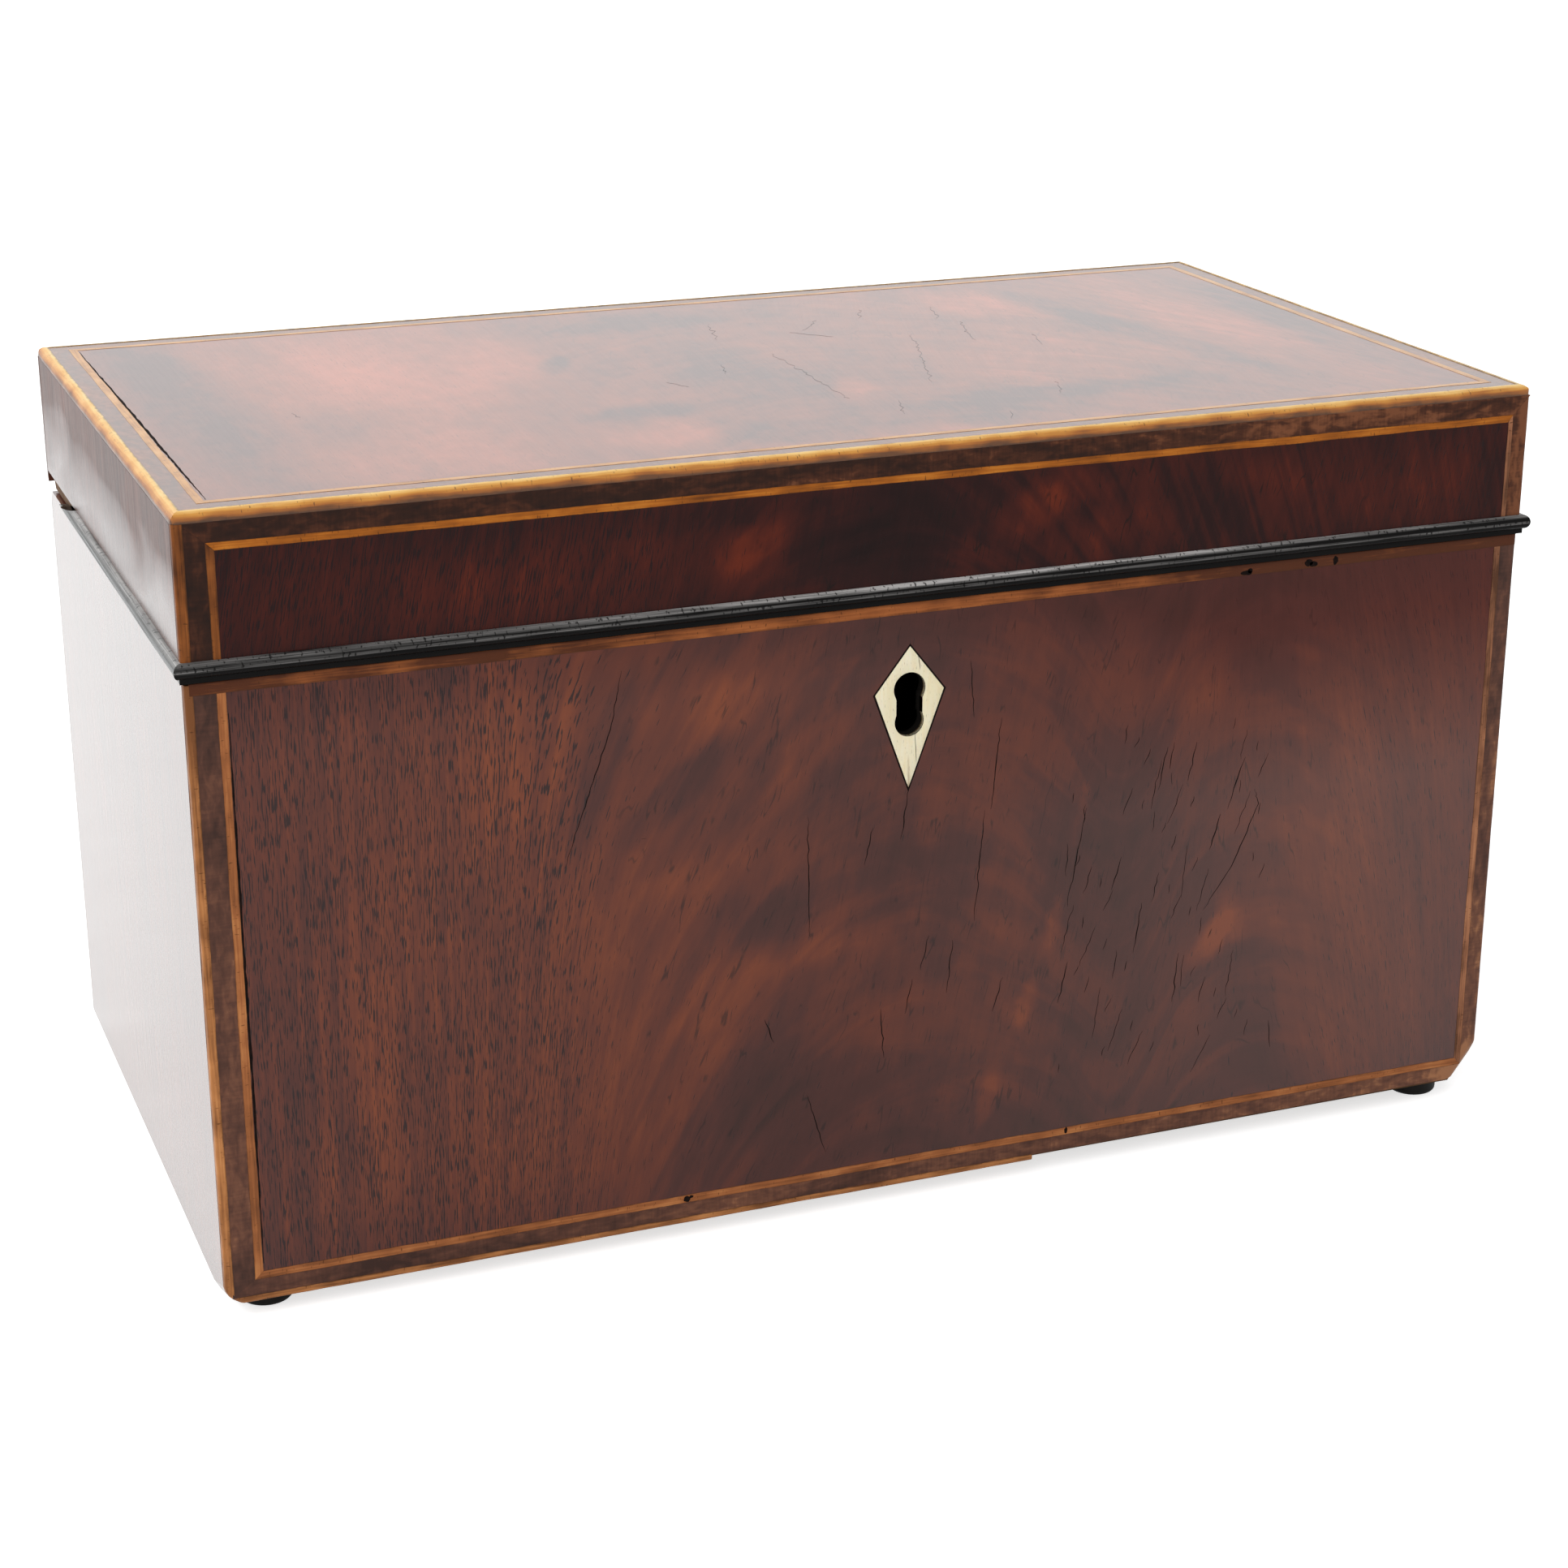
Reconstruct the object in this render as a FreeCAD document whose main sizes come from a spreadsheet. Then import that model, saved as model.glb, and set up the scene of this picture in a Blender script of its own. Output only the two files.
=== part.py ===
import FreeCAD, Part
import os
from types import SimpleNamespace

import Sketcher
from FreeCAD import Placement, Rotation, Vector

# Tea caddy: a veneered box on four button feet, with a hinged lid, a box lock,
# two lead-lined compartments and two lift-out inner lids.
# Millimetres. +X is the right-hand side, -Y the front, +Z up.
# The origin is on the floor under the middle of the whole caddy.

SIZES = {
    # Case and lid, over the veneers
    "case_width": 219.4,
    "case_depth": 118.7,
    "body_height": 98.5,
    "lid_height": 24.6,
    "lid_overhang": 0.3,
    "joint_gap": 0.4,
    # Boards and linings
    "wall": 9.0,
    "floor": 6.0,
    "lid_board": 6.0,
    "lid_lining": 2.0,
    "liner": 3.0,
    "divider": 4.0,
    "tea_lead": 0.5,
    "veneer": 1.0,
    # Inlaid lines, measured across the line
    "edging": 1.6,
    "banding": 3.0,
    "base_banding": 2.1,
    "stringing": 1.3,
    "corner_wear": 3.6,
    # Ebonised bead round the lower edge of the lid
    "bead_radius": 1.15,
    "bead_projection": 1.2,
    "bead_fillet": 0.8,
    "bead_fillet_set_in": 0.9,
    "bead_stop": 13.0,
    "bead_end_taper": 17.0,
    # Feet
    "foot_height": 3.2,
    "foot_radius": 4.2,
    "foot_bevel": 0.7,
    "foot_inset": 7.6,
    # Escutcheon and keyhole
    "lock_offset": 1.4,
    "escutcheon_width": 11.6,
    "escutcheon_height": 23.2,
    "escutcheon_shoulder": 7.4,
    "escutcheon_drop": 6.7,
    "keyhole_drop": 13.6,
    "keyhole_length": 5.3,
    "keyhole_eye_radius": 2.6,
    "keyhole_waist": 4.3,
    "keyhole_foot_radius": 2.4,
    # Box lock
    "lock_lip": 1.5,
    "lock_width": 40.0,
    "lock_height": 26.0,
    "lock_plate": 1.0,
    "selvedge_width": 50.0,
    "selvedge": 1.5,
    "bolt_clearance": 0.3,
    "bolt_height": 7.0,
    "bolt_tail": 18.0,
    "bolt_nose": 5.2,
    "bolt_nose_thickness": 1.8,
    "bolt_nose_drop": 2.6,
    "bolt_nose_height": 3.8,
    "bolt_talon_width": 5.0,
    "bolt_talon_height": 2.0,
    # Link plate on the lid, with the staple that the bolt passes through
    "link_offset": 13.0,
    "link_plate": 1.2,
    "link_plate_length": 28.0,
    "link_plate_width": 6.4,
    "staple_thickness": 2.0,
    "staple_width": 3.8,
    "staple_clearance": 0.6,
    "staple_wall": 0.6,
    "staple_toe": 1.2,
    # Butt hinges
    "hinge_spacing": 118.0,
    "hinge_length": 28.0,
    "hinge_inset": 2.0,
    "hinge_leaf": 1.2,
    "hinge_leaf_width": 6.2,
    "hinge_clearance": 0.3,
    "knuckle_radius": 1.8,
    "knuckle_length": 9.2,
    "knuckle_gap": 0.2,
    "pin_radius": 0.75,
    "pin_clearance": 0.05,
    "stop_bevel_angle": 48.5,
    # Countersunk screws
    "screw_head_radius": 1.5,
    "screw_head_height": 1.2,
    "screw_shank_radius": 0.7,
    "screw_length": 5.5,
    "hinge_screw_spacing": 17.0,
    "hinge_screw_set_in": 4.1,
    "link_screw_spacing": 19.0,
    "lock_screw_set_in": 2.5,
    # Inner lids and their turned knobs
    "inner_lid": 4.5,
    "inner_lid_drop": 9.5,
    "inner_lid_clearance": 0.4,
    "inner_lid_bevel": 0.8,
    "knob_height": 9.0,
    "knob_radius": 4.4,
    "knob_crown": 2.2,
    "knob_crown_radius": 2.2,
    "knob_base_radius": 3.4,
    "knob_waist_radius": 1.9,
    "knob_waist": 3.2,
    "knob_tenon_radius": 1.75,
}

KEYHOLE_OVERCUT = 1.0
SCREW_SIDES = 12
CORNER_WEAR_FACING = Vector(4, -3.4, -3).normalize()
FRONT_TURN = Rotation(Vector(1, 0, 0), 90)
TOP_TURN = Rotation()
AXIS_TURNS = {
    "x": Rotation(Vector(0, 1, 0), 90),
    "y": Rotation(Vector(1, 0, 0), -90),
    "z": Rotation(),
}

doc = FreeCAD.newDocument("tea_caddy")
sheet = doc.addObject("Spreadsheet::Sheet", "Sizes")
for row, (alias, number) in enumerate(SIZES.items(), start=1):
    sheet.set(f"A{row}", alias)
    sheet.set(f"B{row}", str(number))
    sheet.setAlias(f"B{row}", alias)
doc.recompute()


class Size:
    """A length with the sheet formula that gives it, so sums of sizes stay tied to the sheet."""

    def __init__(self, value, formula):
        self.value = value
        self.formula = formula

    def __add__(self, other):
        other = as_size(other)
        return Size(self.value + other.value, f"({self.formula} + {other.formula})")

    def __sub__(self, other):
        other = as_size(other)
        return Size(self.value - other.value, f"({self.formula} - {other.formula})")

    def __mul__(self, other):
        other = as_size(other)
        return Size(self.value * other.value, f"({self.formula} * {other.formula})")

    def __truediv__(self, other):
        other = as_size(other)
        return Size(self.value / other.value, f"({self.formula} / {other.formula})")

    def __neg__(self):
        return Size(-self.value, f"(0 - {self.formula})")


def as_size(value):
    return value if isinstance(value, Size) else Size(value, str(value))


d = SimpleNamespace(**{alias: Size(number, f"Sizes.{alias}") for alias, number in SIZES.items()})
zero = Size(0.0, "0")
pieces = []


def keep(piece):
    """Mark an object as a finished piece of the caddy."""
    pieces.append(piece)
    return piece


def bind(item, prop, value):
    item.setExpression(prop, as_size(value).formula)


def place(item, at, turn=None):
    item.Placement = Placement(Vector(), turn or Rotation())
    for axis, coordinate in zip("xyz", at):
        bind(item, f"Placement.Base.{axis}", coordinate)
    return item


def block(name, x, y, z):
    """A squared board between two limits on each axis."""
    board = doc.addObject("Part::Box", name)
    for prop, (low, high) in zip(("Length", "Width", "Height"), (x, y, z)):
        bind(board, prop, high - low)
    return place(board, (x[0], y[0], z[0]))


def rod(name, radius, length, at, axis):
    """A round bar that runs from a point along one axis."""
    bar = doc.addObject("Part::Cylinder", name)
    bind(bar, "Radius", radius)
    bind(bar, "Height", length)
    return place(bar, at, AXIS_TURNS[axis])


def fuse(name, parts):
    joined = doc.addObject("Part::MultiFuse", name)
    joined.Shapes = parts
    return joined


def cut(name, base, *tools):
    result = doc.addObject("Part::Cut", name)
    result.Base = base
    result.Tool = tools[0] if len(tools) == 1 else fuse(f"{name}_cutters", list(tools))
    return result


def common(name, parts):
    result = doc.addObject("Part::MultiCommon", name)
    result.Shapes = parts
    return result


def group(name, parts):
    """Several separate solids of one kind, kept under one name."""
    bundle = doc.addObject("Part::Compound", name)
    bundle.Links = parts
    return bundle


def strips(name, turn, at, rect, widths, thickness):
    """Mitred strips along the sides of a rectangle, and the rectangle left inside them.

    rect is left, bottom, right, top. A side with no width has no strip, and its neighbours
    then end square. at turns a point of the rectangle's plane into a place in the caddy.
    """
    left, bottom, right, top = rect
    sides = (
        ("bottom", 0, (left, bottom), right - left, "left", "right"),
        ("right", 90, (right, bottom), top - bottom, "bottom", "top"),
        ("top", 180, (right, top), right - left, "right", "left"),
        ("left", 270, (left, top), top - bottom, "top", "bottom"),
    )
    made = {}
    for side, angle, corner, run, before, after in sides:
        if side not in widths:
            continue
        strip = doc.addObject("Part::Wedge", f"{name}_{side}")
        for prop in ("Xmin", "Ymin", "Zmin", "Z2min"):
            setattr(strip, prop, 0)
        bind(strip, "Xmax", run)
        bind(strip, "X2min", widths.get(before, zero))
        bind(strip, "X2max", run - widths.get(after, zero))
        bind(strip, "Ymax", widths[side])
        bind(strip, "Zmax", thickness)
        bind(strip, "Z2max", thickness)
        made[side] = place(strip, at(*corner), turn * Rotation(Vector(0, 0, 1), angle))
    inside = (
        left + widths.get("left", zero),
        bottom + widths.get("bottom", zero),
        right - widths.get("right", zero),
        top - widths.get("top", zero),
    )
    return made, inside


def sketch_on(body, role, corners, arcs=None):
    """A closed outline through the corners, on one origin plane of its own body.

    arcs gives the edges that are counter-clockwise arcs: number of the edge, then its radius
    and the centre it turns about. All corners lie at or above zero on both axes.
    """
    arcs = arcs or {}
    plane = next(item for item in body.Origin.OriginFeatures if item.Role == role)
    sketch = body.newObject("Sketcher::SketchObject", f"{body.Name}_outline")
    sketch.AttachmentSupport = (plane, "")
    sketch.MapMode = "FlatFace"
    points = [Vector(as_size(u).value, as_size(v).value, 0) for u, v in corners]
    count = len(points)
    for index, start in enumerate(points):
        end = points[(index + 1) % count]
        if index in arcs:
            radius, centre = arcs[index]
            middle = Vector(as_size(centre[0]).value, as_size(centre[1]).value, 0)
            circle = Part.Circle(middle, Vector(0, 0, 1), radius.value)
            sweep = circle.parameter(start), circle.parameter(end)
            sketch.addGeometry(Part.ArcOfCircle(circle, *sweep))
        else:
            sketch.addGeometry(Part.LineSegment(start, end))
    for index, (u, v) in enumerate(corners):
        before = (index - 1) % count
        sketch.addConstraint(Sketcher.Constraint("Coincident", before, 2, index, 1))
        for kind, axis, value in (("DistanceX", -2, u), ("DistanceY", -1, v)):
            if value is zero:
                sketch.addConstraint(Sketcher.Constraint("PointOnObject", index, 1, axis))
                continue
            number = sketch.addConstraint(Sketcher.Constraint(kind, -1, 1, index, 1, value.value))
            bind(sketch, f"Constraints[{number}]", value)
    for index, (radius, _) in arcs.items():
        number = sketch.addConstraint(Sketcher.Constraint("Radius", index, radius.value))
        bind(sketch, f"Constraints[{number}]", radius)
    return sketch


def padded(name, role, corners, length, arcs=None):
    """A body made by padding an outline."""
    body = doc.addObject("PartDesign::Body", name)
    pad = body.newObject("PartDesign::Pad", f"{name}_pad")
    pad.Profile = sketch_on(body, role, corners, arcs)
    bind(pad, "Length", length)
    return body


def turned(name, corners, at):
    """A body turned about its own upright axis."""
    body = doc.addObject("PartDesign::Body", name)
    sketch = sketch_on(body, "XZ_Plane", corners)
    revolution = body.newObject("PartDesign::Revolution", f"{name}_turning")
    revolution.Profile = sketch
    revolution.ReferenceAxis = (sketch, ["V_Axis"])
    revolution.Angle = 360
    return place(body, at)


def screw(name, at, points_up):
    """A countersunk screw with its flat head at the given point, the head cut to a few flats."""
    turn = Rotation() if points_up else Rotation(Vector(1, 0, 0), 180)
    tapers = []
    for number in range(SCREW_SIDES // 4):
        taper = doc.addObject("Part::Wedge", f"{name}_taper_{number}")
        taper.Ymin = 0
        bind(taper, "Ymax", d.screw_head_height)
        for axis in "XZ":
            bind(taper, f"{axis}min", -d.screw_head_radius)
            bind(taper, f"{axis}max", d.screw_head_radius)
            bind(taper, f"{axis}2min", -d.screw_shank_radius)
            bind(taper, f"{axis}2max", d.screw_shank_radius)
        spin = Rotation(Vector(0, 0, 1), number * 360 / SCREW_SIDES)
        tapers.append(place(taper, at, turn * spin * Rotation(Vector(1, 0, 0), 90)))
    shank = doc.addObject("Part::Prism", f"{name}_shank")
    shank.Polygon = SCREW_SIDES
    bind(shank, "Circumradius", d.screw_shank_radius)
    bind(shank, "Height", d.screw_length)
    place(shank, at, turn)
    return fuse(name, [common(f"{name}_head", tapers), shank])


# Levels and faces shared by the pieces
half = d.case_width / 2
front = (d.lid_overhang + d.bead_projection - d.case_depth) / 2
back = (d.lid_overhang + d.bead_projection + d.case_depth) / 2
underside = d.foot_height
rim = underside + d.body_height
joint = rim + d.joint_gap
crown = joint + d.lid_height
lid_half = half + d.lid_overhang
lid_front = front - d.lid_overhang

board_half = half - d.veneer
board_front = front + d.veneer
board_back = back - d.veneer
room_half = board_half - d.wall
room_front = board_front + d.wall
room_back = board_back - d.wall
floor_top = underside + d.floor
ledge = rim - d.inner_lid_drop - d.inner_lid

lid_board_half = lid_half - d.veneer
lid_board_front = lid_front + d.veneer
lid_room_half = lid_board_half - d.wall
lid_room_front = lid_board_front + d.wall
bead_height = d.bead_fillet + d.bead_radius * 2
bead_top = joint + bead_height
rail_top = crown - d.veneer - d.lid_board
ceiling = rail_top - d.lid_lining

# Back hinges: bevels that let the lid swing and then stop it, room for the knuckles, screws
hinge_axis_y = back - d.hinge_inset
hinge_axis_z = rim + d.joint_gap / 2
hinge_run = d.hinge_length + d.hinge_clearance * 2
bevel_run = lid_half * 2 + d.bead_projection * 2


def bevel(name, level, angle):
    """A square bar turned about the hinge line, to plane off one back edge."""
    bar = doc.addObject("Part::Box", name)
    bind(bar, "Length", bevel_run)
    bind(bar, "Width", d.hinge_inset * 2)
    bind(bar, "Height", d.hinge_inset * 2)
    place(bar, (-bevel_run / 2, hinge_axis_y, level), Rotation(Vector(-1, 0, 0), angle.value))
    bind(bar, "Placement.Rotation.Angle", angle)
    return bar


def hinge(side, centre):
    """One butt hinge: both leaves, the pin, the screws, and the room they need in the wood."""
    start = centre - d.hinge_length / 2
    end = centre + d.hinge_length / 2
    middle_start = centre - d.knuckle_length / 2
    middle_end = centre + d.knuckle_length / 2
    line = hinge_axis_y, hinge_axis_z
    leaf_tip = hinge_axis_y - d.hinge_leaf_width
    reach = d.knuckle_radius + d.hinge_clearance
    outer_length = d.hinge_length / 2 - d.knuckle_length / 2 - d.knuckle_gap

    def bar(name, radius, low, length):
        return rod(f"hinge_{side}_{name}", radius, length, (low, *line), "x")

    def screws(name, level, points_up):
        y = hinge_axis_y - d.hinge_screw_set_in
        spread = d.hinge_screw_spacing / 2
        return [
            screw(f"hinge_{side}_{name}_screw_{number}", (x, y, level), points_up)
            for number, x in enumerate((centre - spread, centre + spread))
        ]

    def leaf(owner, level, knuckles, others, fixings):
        blank = block(f"hinge_{side}_{owner}_plate", (start, end), (leaf_tip, hinge_axis_y), level)
        notched = cut(f"hinge_{side}_{owner}_notched", blank, *others)
        rolled = fuse(f"hinge_{side}_{owner}_rolled", [notched, *knuckles])
        bore_radius = d.pin_radius + d.pin_clearance
        bore = bar(f"{owner}_bore", bore_radius, start - d.hinge_clearance, hinge_run)
        return keep(cut(f"hinge_leaf_{owner}_{side}", rolled, bore, *fixings))

    middle = bar("middle_knuckle", d.knuckle_radius, middle_start, d.knuckle_length)
    outers = [
        bar("first_knuckle", d.knuckle_radius, start, outer_length),
        bar("last_knuckle", d.knuckle_radius, middle_end + d.knuckle_gap, outer_length),
    ]
    middle_run = d.knuckle_length + d.knuckle_gap * 2
    outer_run = outer_length + d.knuckle_gap + d.hinge_clearance
    middle_room = bar("middle_room", reach, middle_start - d.knuckle_gap, middle_run)
    outer_room = [
        bar("first_room", reach, start - d.hinge_clearance, outer_run),
        bar("last_room", reach, middle_end, outer_run),
    ]
    body_screws = screws("body", rim, False)
    lid_screws = screws("lid", joint, True)
    body_level = (rim - d.hinge_leaf, rim)
    lid_level = (joint, joint + d.hinge_leaf)
    leaf("body", body_level, [middle], outer_room, body_screws)
    leaf("lid", lid_level, outers, [middle_room], lid_screws)
    pocket = (start, end), (leaf_tip, hinge_axis_y)
    return SimpleNamespace(
        barrel=bar("barrel_room", reach, start - d.hinge_clearance, hinge_run),
        body_pocket=block(f"hinge_{side}_body_pocket", *pocket, body_level),
        lid_pocket=block(f"hinge_{side}_lid_pocket", *pocket, lid_level),
        pin=bar("pin", d.pin_radius, start, d.hinge_length),
        body_screws=body_screws,
        lid_screws=lid_screws,
    )


body_bevel = bevel("body_stop_bevel", rim, d.stop_bevel_angle)
lid_bevel = bevel("lid_stop_bevel", joint, Size(90.0, "90") - d.stop_bevel_angle)
hinges = [hinge("left", -d.hinge_spacing / 2), hinge("right", d.hinge_spacing / 2)]
keep(group("hinge_pins", [pair.pin for pair in hinges]))
body_hinge_screws = [item for pair in hinges for item in pair.body_screws]
lid_hinge_screws = [item for pair in hinges for item in pair.lid_screws]
keep(group("hinge_screws_body", body_hinge_screws))
keep(group("hinge_screws_lid", lid_hinge_screws))
barrels = [pair.barrel for pair in hinges]

# Escutcheon and the keyhole through it
escutcheon_top = rim - d.escutcheon_drop
kite = padded(
    "escutcheon_kite",
    "XZ_Plane",
    [
        (d.escutcheon_width / 2, zero),
        (d.escutcheon_width, d.escutcheon_height - d.escutcheon_shoulder),
        (d.escutcheon_width / 2, d.escutcheon_height),
        (zero, d.escutcheon_height - d.escutcheon_shoulder),
    ],
    d.veneer,
)
kite_left = d.lock_offset - d.escutcheon_width / 2
place(kite, (kite_left, board_front, escutcheon_top - d.escutcheon_height))

lock_front = board_front + d.lock_lip
lock_room_front = lock_front + d.lock_plate
lock_room_back = room_front - d.lock_plate
lock_bottom = rim - d.lock_height
lock_left = d.lock_offset - d.lock_width / 2
lock_right = d.lock_offset + d.lock_width / 2
keyhole_start = front - KEYHOLE_OVERCUT
keyhole_end = lock_room_front + KEYHOLE_OVERCUT
keyhole_eye = rim - d.keyhole_drop
keyhole_foot = keyhole_eye - d.keyhole_length
keyhole = fuse(
    "keyhole",
    [
        rod("keyhole_eye", d.keyhole_eye_radius, keyhole_end - keyhole_start,
            (d.lock_offset, keyhole_start, keyhole_eye), "y"),
        rod("keyhole_foot", d.keyhole_foot_radius, keyhole_end - keyhole_start,
            (d.lock_offset, keyhole_start, keyhole_foot), "y"),
        block("keyhole_waist",
              (d.lock_offset - d.keyhole_waist / 2, d.lock_offset + d.keyhole_waist / 2),
              (keyhole_start, keyhole_end), (keyhole_foot, keyhole_eye)),
    ],
)
keep(cut("escutcheon", kite, keyhole))

# Box lock: a case with its selvedge at the rim, a cover on the inside, and the sliding bolt
lock_width = (lock_left, lock_right)
selvedge_left = d.lock_offset - d.selvedge_width / 2
selvedge_right = d.lock_offset + d.selvedge_width / 2
selvedge_bottom = rim - d.selvedge
lock_z = (lock_bottom, selvedge_bottom)
lock_body = block("lock_body", lock_width, (lock_front, lock_room_back), lock_z)
selvedge_x = (selvedge_left, selvedge_right)
lock_top = block("lock_selvedge", selvedge_x, (lock_front, room_front), (selvedge_bottom, rim))
lock_room = block(
    "lock_room",
    (lock_left + d.lock_plate, lock_right - d.lock_plate),
    (lock_room_front, lock_room_back),
    (lock_bottom + d.lock_plate, selvedge_bottom),
)
staple_middle = d.lock_offset + d.link_offset
staple_x = (staple_middle - d.staple_thickness / 2, staple_middle + d.staple_thickness / 2)
staple_slot = block(
    "staple_slot",
    (staple_x[0] - d.staple_clearance, staple_x[1] + d.staple_clearance),
    (lock_room_front, lock_room_back),
    (selvedge_bottom, rim),
)
lock_screw_y = (lock_front + room_front) / 2
lock_screw_x = (selvedge_left + d.lock_screw_set_in, selvedge_right - d.lock_screw_set_in)
lock_screws = [
    screw(f"lock_screw_{number}", (x, lock_screw_y, rim), False)
    for number, x in enumerate(lock_screw_x)
]
lock_shell = fuse("lock_shell", [lock_body, lock_top])
keep(cut("lock_case", lock_shell, lock_room, staple_slot, keyhole, *lock_screws))
lock_cover = keep(block("lock_cover", lock_width, (lock_room_back, room_front), lock_z))
keep(group("lock_screws", lock_screws))

bolt_top = selvedge_bottom - d.bolt_clearance
bolt_bottom = bolt_top - d.bolt_height
bolt_shoulder = staple_x[0] - d.bolt_nose - d.bolt_clearance * 2
nose_top = bolt_top - d.bolt_nose_drop
nose_bottom = nose_top - d.bolt_nose_height
staple_y = (lock_room_front + lock_room_back) / 2
bolt_tail = block(
    "bolt_tail",
    (bolt_shoulder - d.bolt_tail, bolt_shoulder),
    (lock_room_front + d.bolt_clearance, lock_room_back - d.bolt_clearance),
    (bolt_bottom, bolt_top),
)
bolt_nose = block(
    "bolt_nose",
    (bolt_shoulder, bolt_shoulder + d.bolt_nose),
    (staple_y - d.bolt_nose_thickness / 2, staple_y + d.bolt_nose_thickness / 2),
    (nose_bottom, nose_top),
)
bolt_talon = block(
    "bolt_talon",
    (d.lock_offset - d.bolt_talon_width / 2, d.lock_offset + d.bolt_talon_width / 2),
    (lock_room_front, lock_room_back),
    (bolt_bottom, bolt_bottom + d.bolt_talon_height),
)
keep(cut("lock_bolt", fuse("bolt_blank", [bolt_tail, bolt_nose]), bolt_talon))

# Front edging: square strips let into rebates along three arrises of the front
def in_rebate(u, v):
    return u, front + d.edging, v


face = (-half, underside, half, rim)
edging, face = strips("edging", FRONT_TURN, in_rebate, face,
                      {"left": d.edging, "bottom": d.edging, "top": d.edging}, d.edging)
edging_ring = group("edging_ring", list(edging.values()))

# Lower right-hand front corner, worn away: a block set across the corner takes off what is lost
facing = CORNER_WEAR_FACING
wear_reach = d.corner_wear * 8
corner_wear = doc.addObject("Part::Box", "corner_wear_block")
for prop in ("Length", "Width", "Height"):
    bind(corner_wear, prop, wear_reach)
wear_turn = Rotation(Vector(0, 0, 1), facing)
across = wear_turn.multVec(Vector(-0.5, -0.5, 0))
place(
    corner_wear,
    (half - d.corner_wear * facing.x + wear_reach * across.x,
     front - d.corner_wear * facing.y + wear_reach * across.y,
     underside - d.corner_wear * facing.z + wear_reach * across.z),
    wear_turn,
)
edging["bottom"] = cut("edging_bottom_worn", edging["bottom"], corner_wear)
keep(group("front_edging", list(edging.values())))

# Carcass boards
board_x = (-board_half, board_half)
front_blank = block("front_board_blank", board_x, (board_front, room_front), (underside, rim))
keep(cut("front_board", front_blank, lock_body, lock_top, lock_cover, keyhole, *lock_screws,
         edging_ring, corner_wear))
back_blank = block("back_board_blank", board_x, (room_back, board_back), (underside, rim))
body_pockets = [pair.body_pocket for pair in hinges]
keep(cut("back_board", back_blank, body_bevel, *barrels, *body_pockets, *body_hinge_screws))
for side, x in (("left", (-board_half, -room_half)), ("right", (room_half, board_half))):
    keep(block(f"{side}_board", x, (room_front, room_back), (underside, rim)))
keep(block("floor_board", (-room_half, room_half), (room_front, room_back), (underside, floor_top)))

# Veneers and inlay on the box
for side, x in (("left", (-half, -board_half)), ("right", (board_half, half))):
    side_leaf = block(f"{side}_veneer_blank", x, (board_front, board_back), (underside, rim))
    keep(cut(f"{side}_veneer", side_leaf, body_bevel, edging_ring, corner_wear))
back_leaf = block("back_veneer_blank", (-half, half), (board_back, back), (underside, rim))
keep(cut("back_veneer", back_leaf, body_bevel, *barrels))


def on_front(u, v):
    return u, board_front, v


def on_lid_front(u, v):
    return u, lid_board_front, v


def on_lid_top(u, v):
    return u, v, crown - d.veneer


def inlay(name, turn, at, rect, widths, worn_by=None):
    """One line of inlay round a face, as thick as the veneer it is set in."""
    made, inside = strips(name, turn, at, rect, widths, d.veneer)
    line = list(made.values())
    if worn_by:
        line = [cut(f"{strip.Name}_worn", strip, worn_by) for strip in line]
    keep(group(name, line))
    return inside


face = inlay("front_banding", FRONT_TURN, on_front, face,
             {"left": d.banding, "bottom": d.base_banding, "right": d.banding}, corner_wear)
face = inlay("front_stringing", FRONT_TURN, on_front, face,
             {"left": d.stringing, "bottom": d.stringing, "right": d.stringing})
left, bottom, right, top = face
front_leaf = block("front_veneer_blank", (left, right), (front, board_front), (bottom, top))
keep(cut("front_veneer", front_leaf, kite))

# Button feet
foot_x = half - d.foot_inset
foot_places = {
    "front_left": (-foot_x, front + d.foot_inset),
    "front_right": (foot_x, front + d.foot_inset),
    "back_left": (-foot_x, back - d.foot_inset),
    "back_right": (foot_x, back - d.foot_inset),
}
for corner, (x, y) in foot_places.items():
    keep(turned(
        f"foot_{corner}",
        [(zero, zero), (d.foot_radius - d.foot_bevel, zero), (d.foot_radius, d.foot_bevel),
         (d.foot_radius, d.foot_height), (zero, d.foot_height)],
        (x, y, zero),
    ))

# Linings: thin boards that carry the inner lids, a divider, and two boxes of sheet lead
liner_z = (floor_top, ledge)
box_front = room_front + d.liner
box_back = room_back - d.liner
box_side = room_half - d.liner
keep(block("front_liner", (-room_half, room_half), (room_front, box_front), liner_z))
keep(block("back_liner", (-room_half, room_half), (box_back, room_back), liner_z))
keep(block("left_liner", (-room_half, -box_side), (box_front, box_back), liner_z))
keep(block("right_liner", (box_side, room_half), (box_front, box_back), liner_z))
keep(block("divider", (-d.divider / 2, d.divider / 2), (box_front, box_back), liner_z))
for side, x in (("left", (-box_side, -d.divider / 2)), ("right", (d.divider / 2, box_side))):
    outside = block(f"{side}_tea_lead_outside", x, (box_front, box_back), liner_z)
    inside = block(
        f"{side}_tea_lead_inside",
        (x[0] + d.tea_lead, x[1] - d.tea_lead),
        (box_front + d.tea_lead, box_back - d.tea_lead),
        (floor_top + d.tea_lead, ledge),
    )
    keep(cut(f"{side}_tea_lead", outside, inside))

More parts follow.
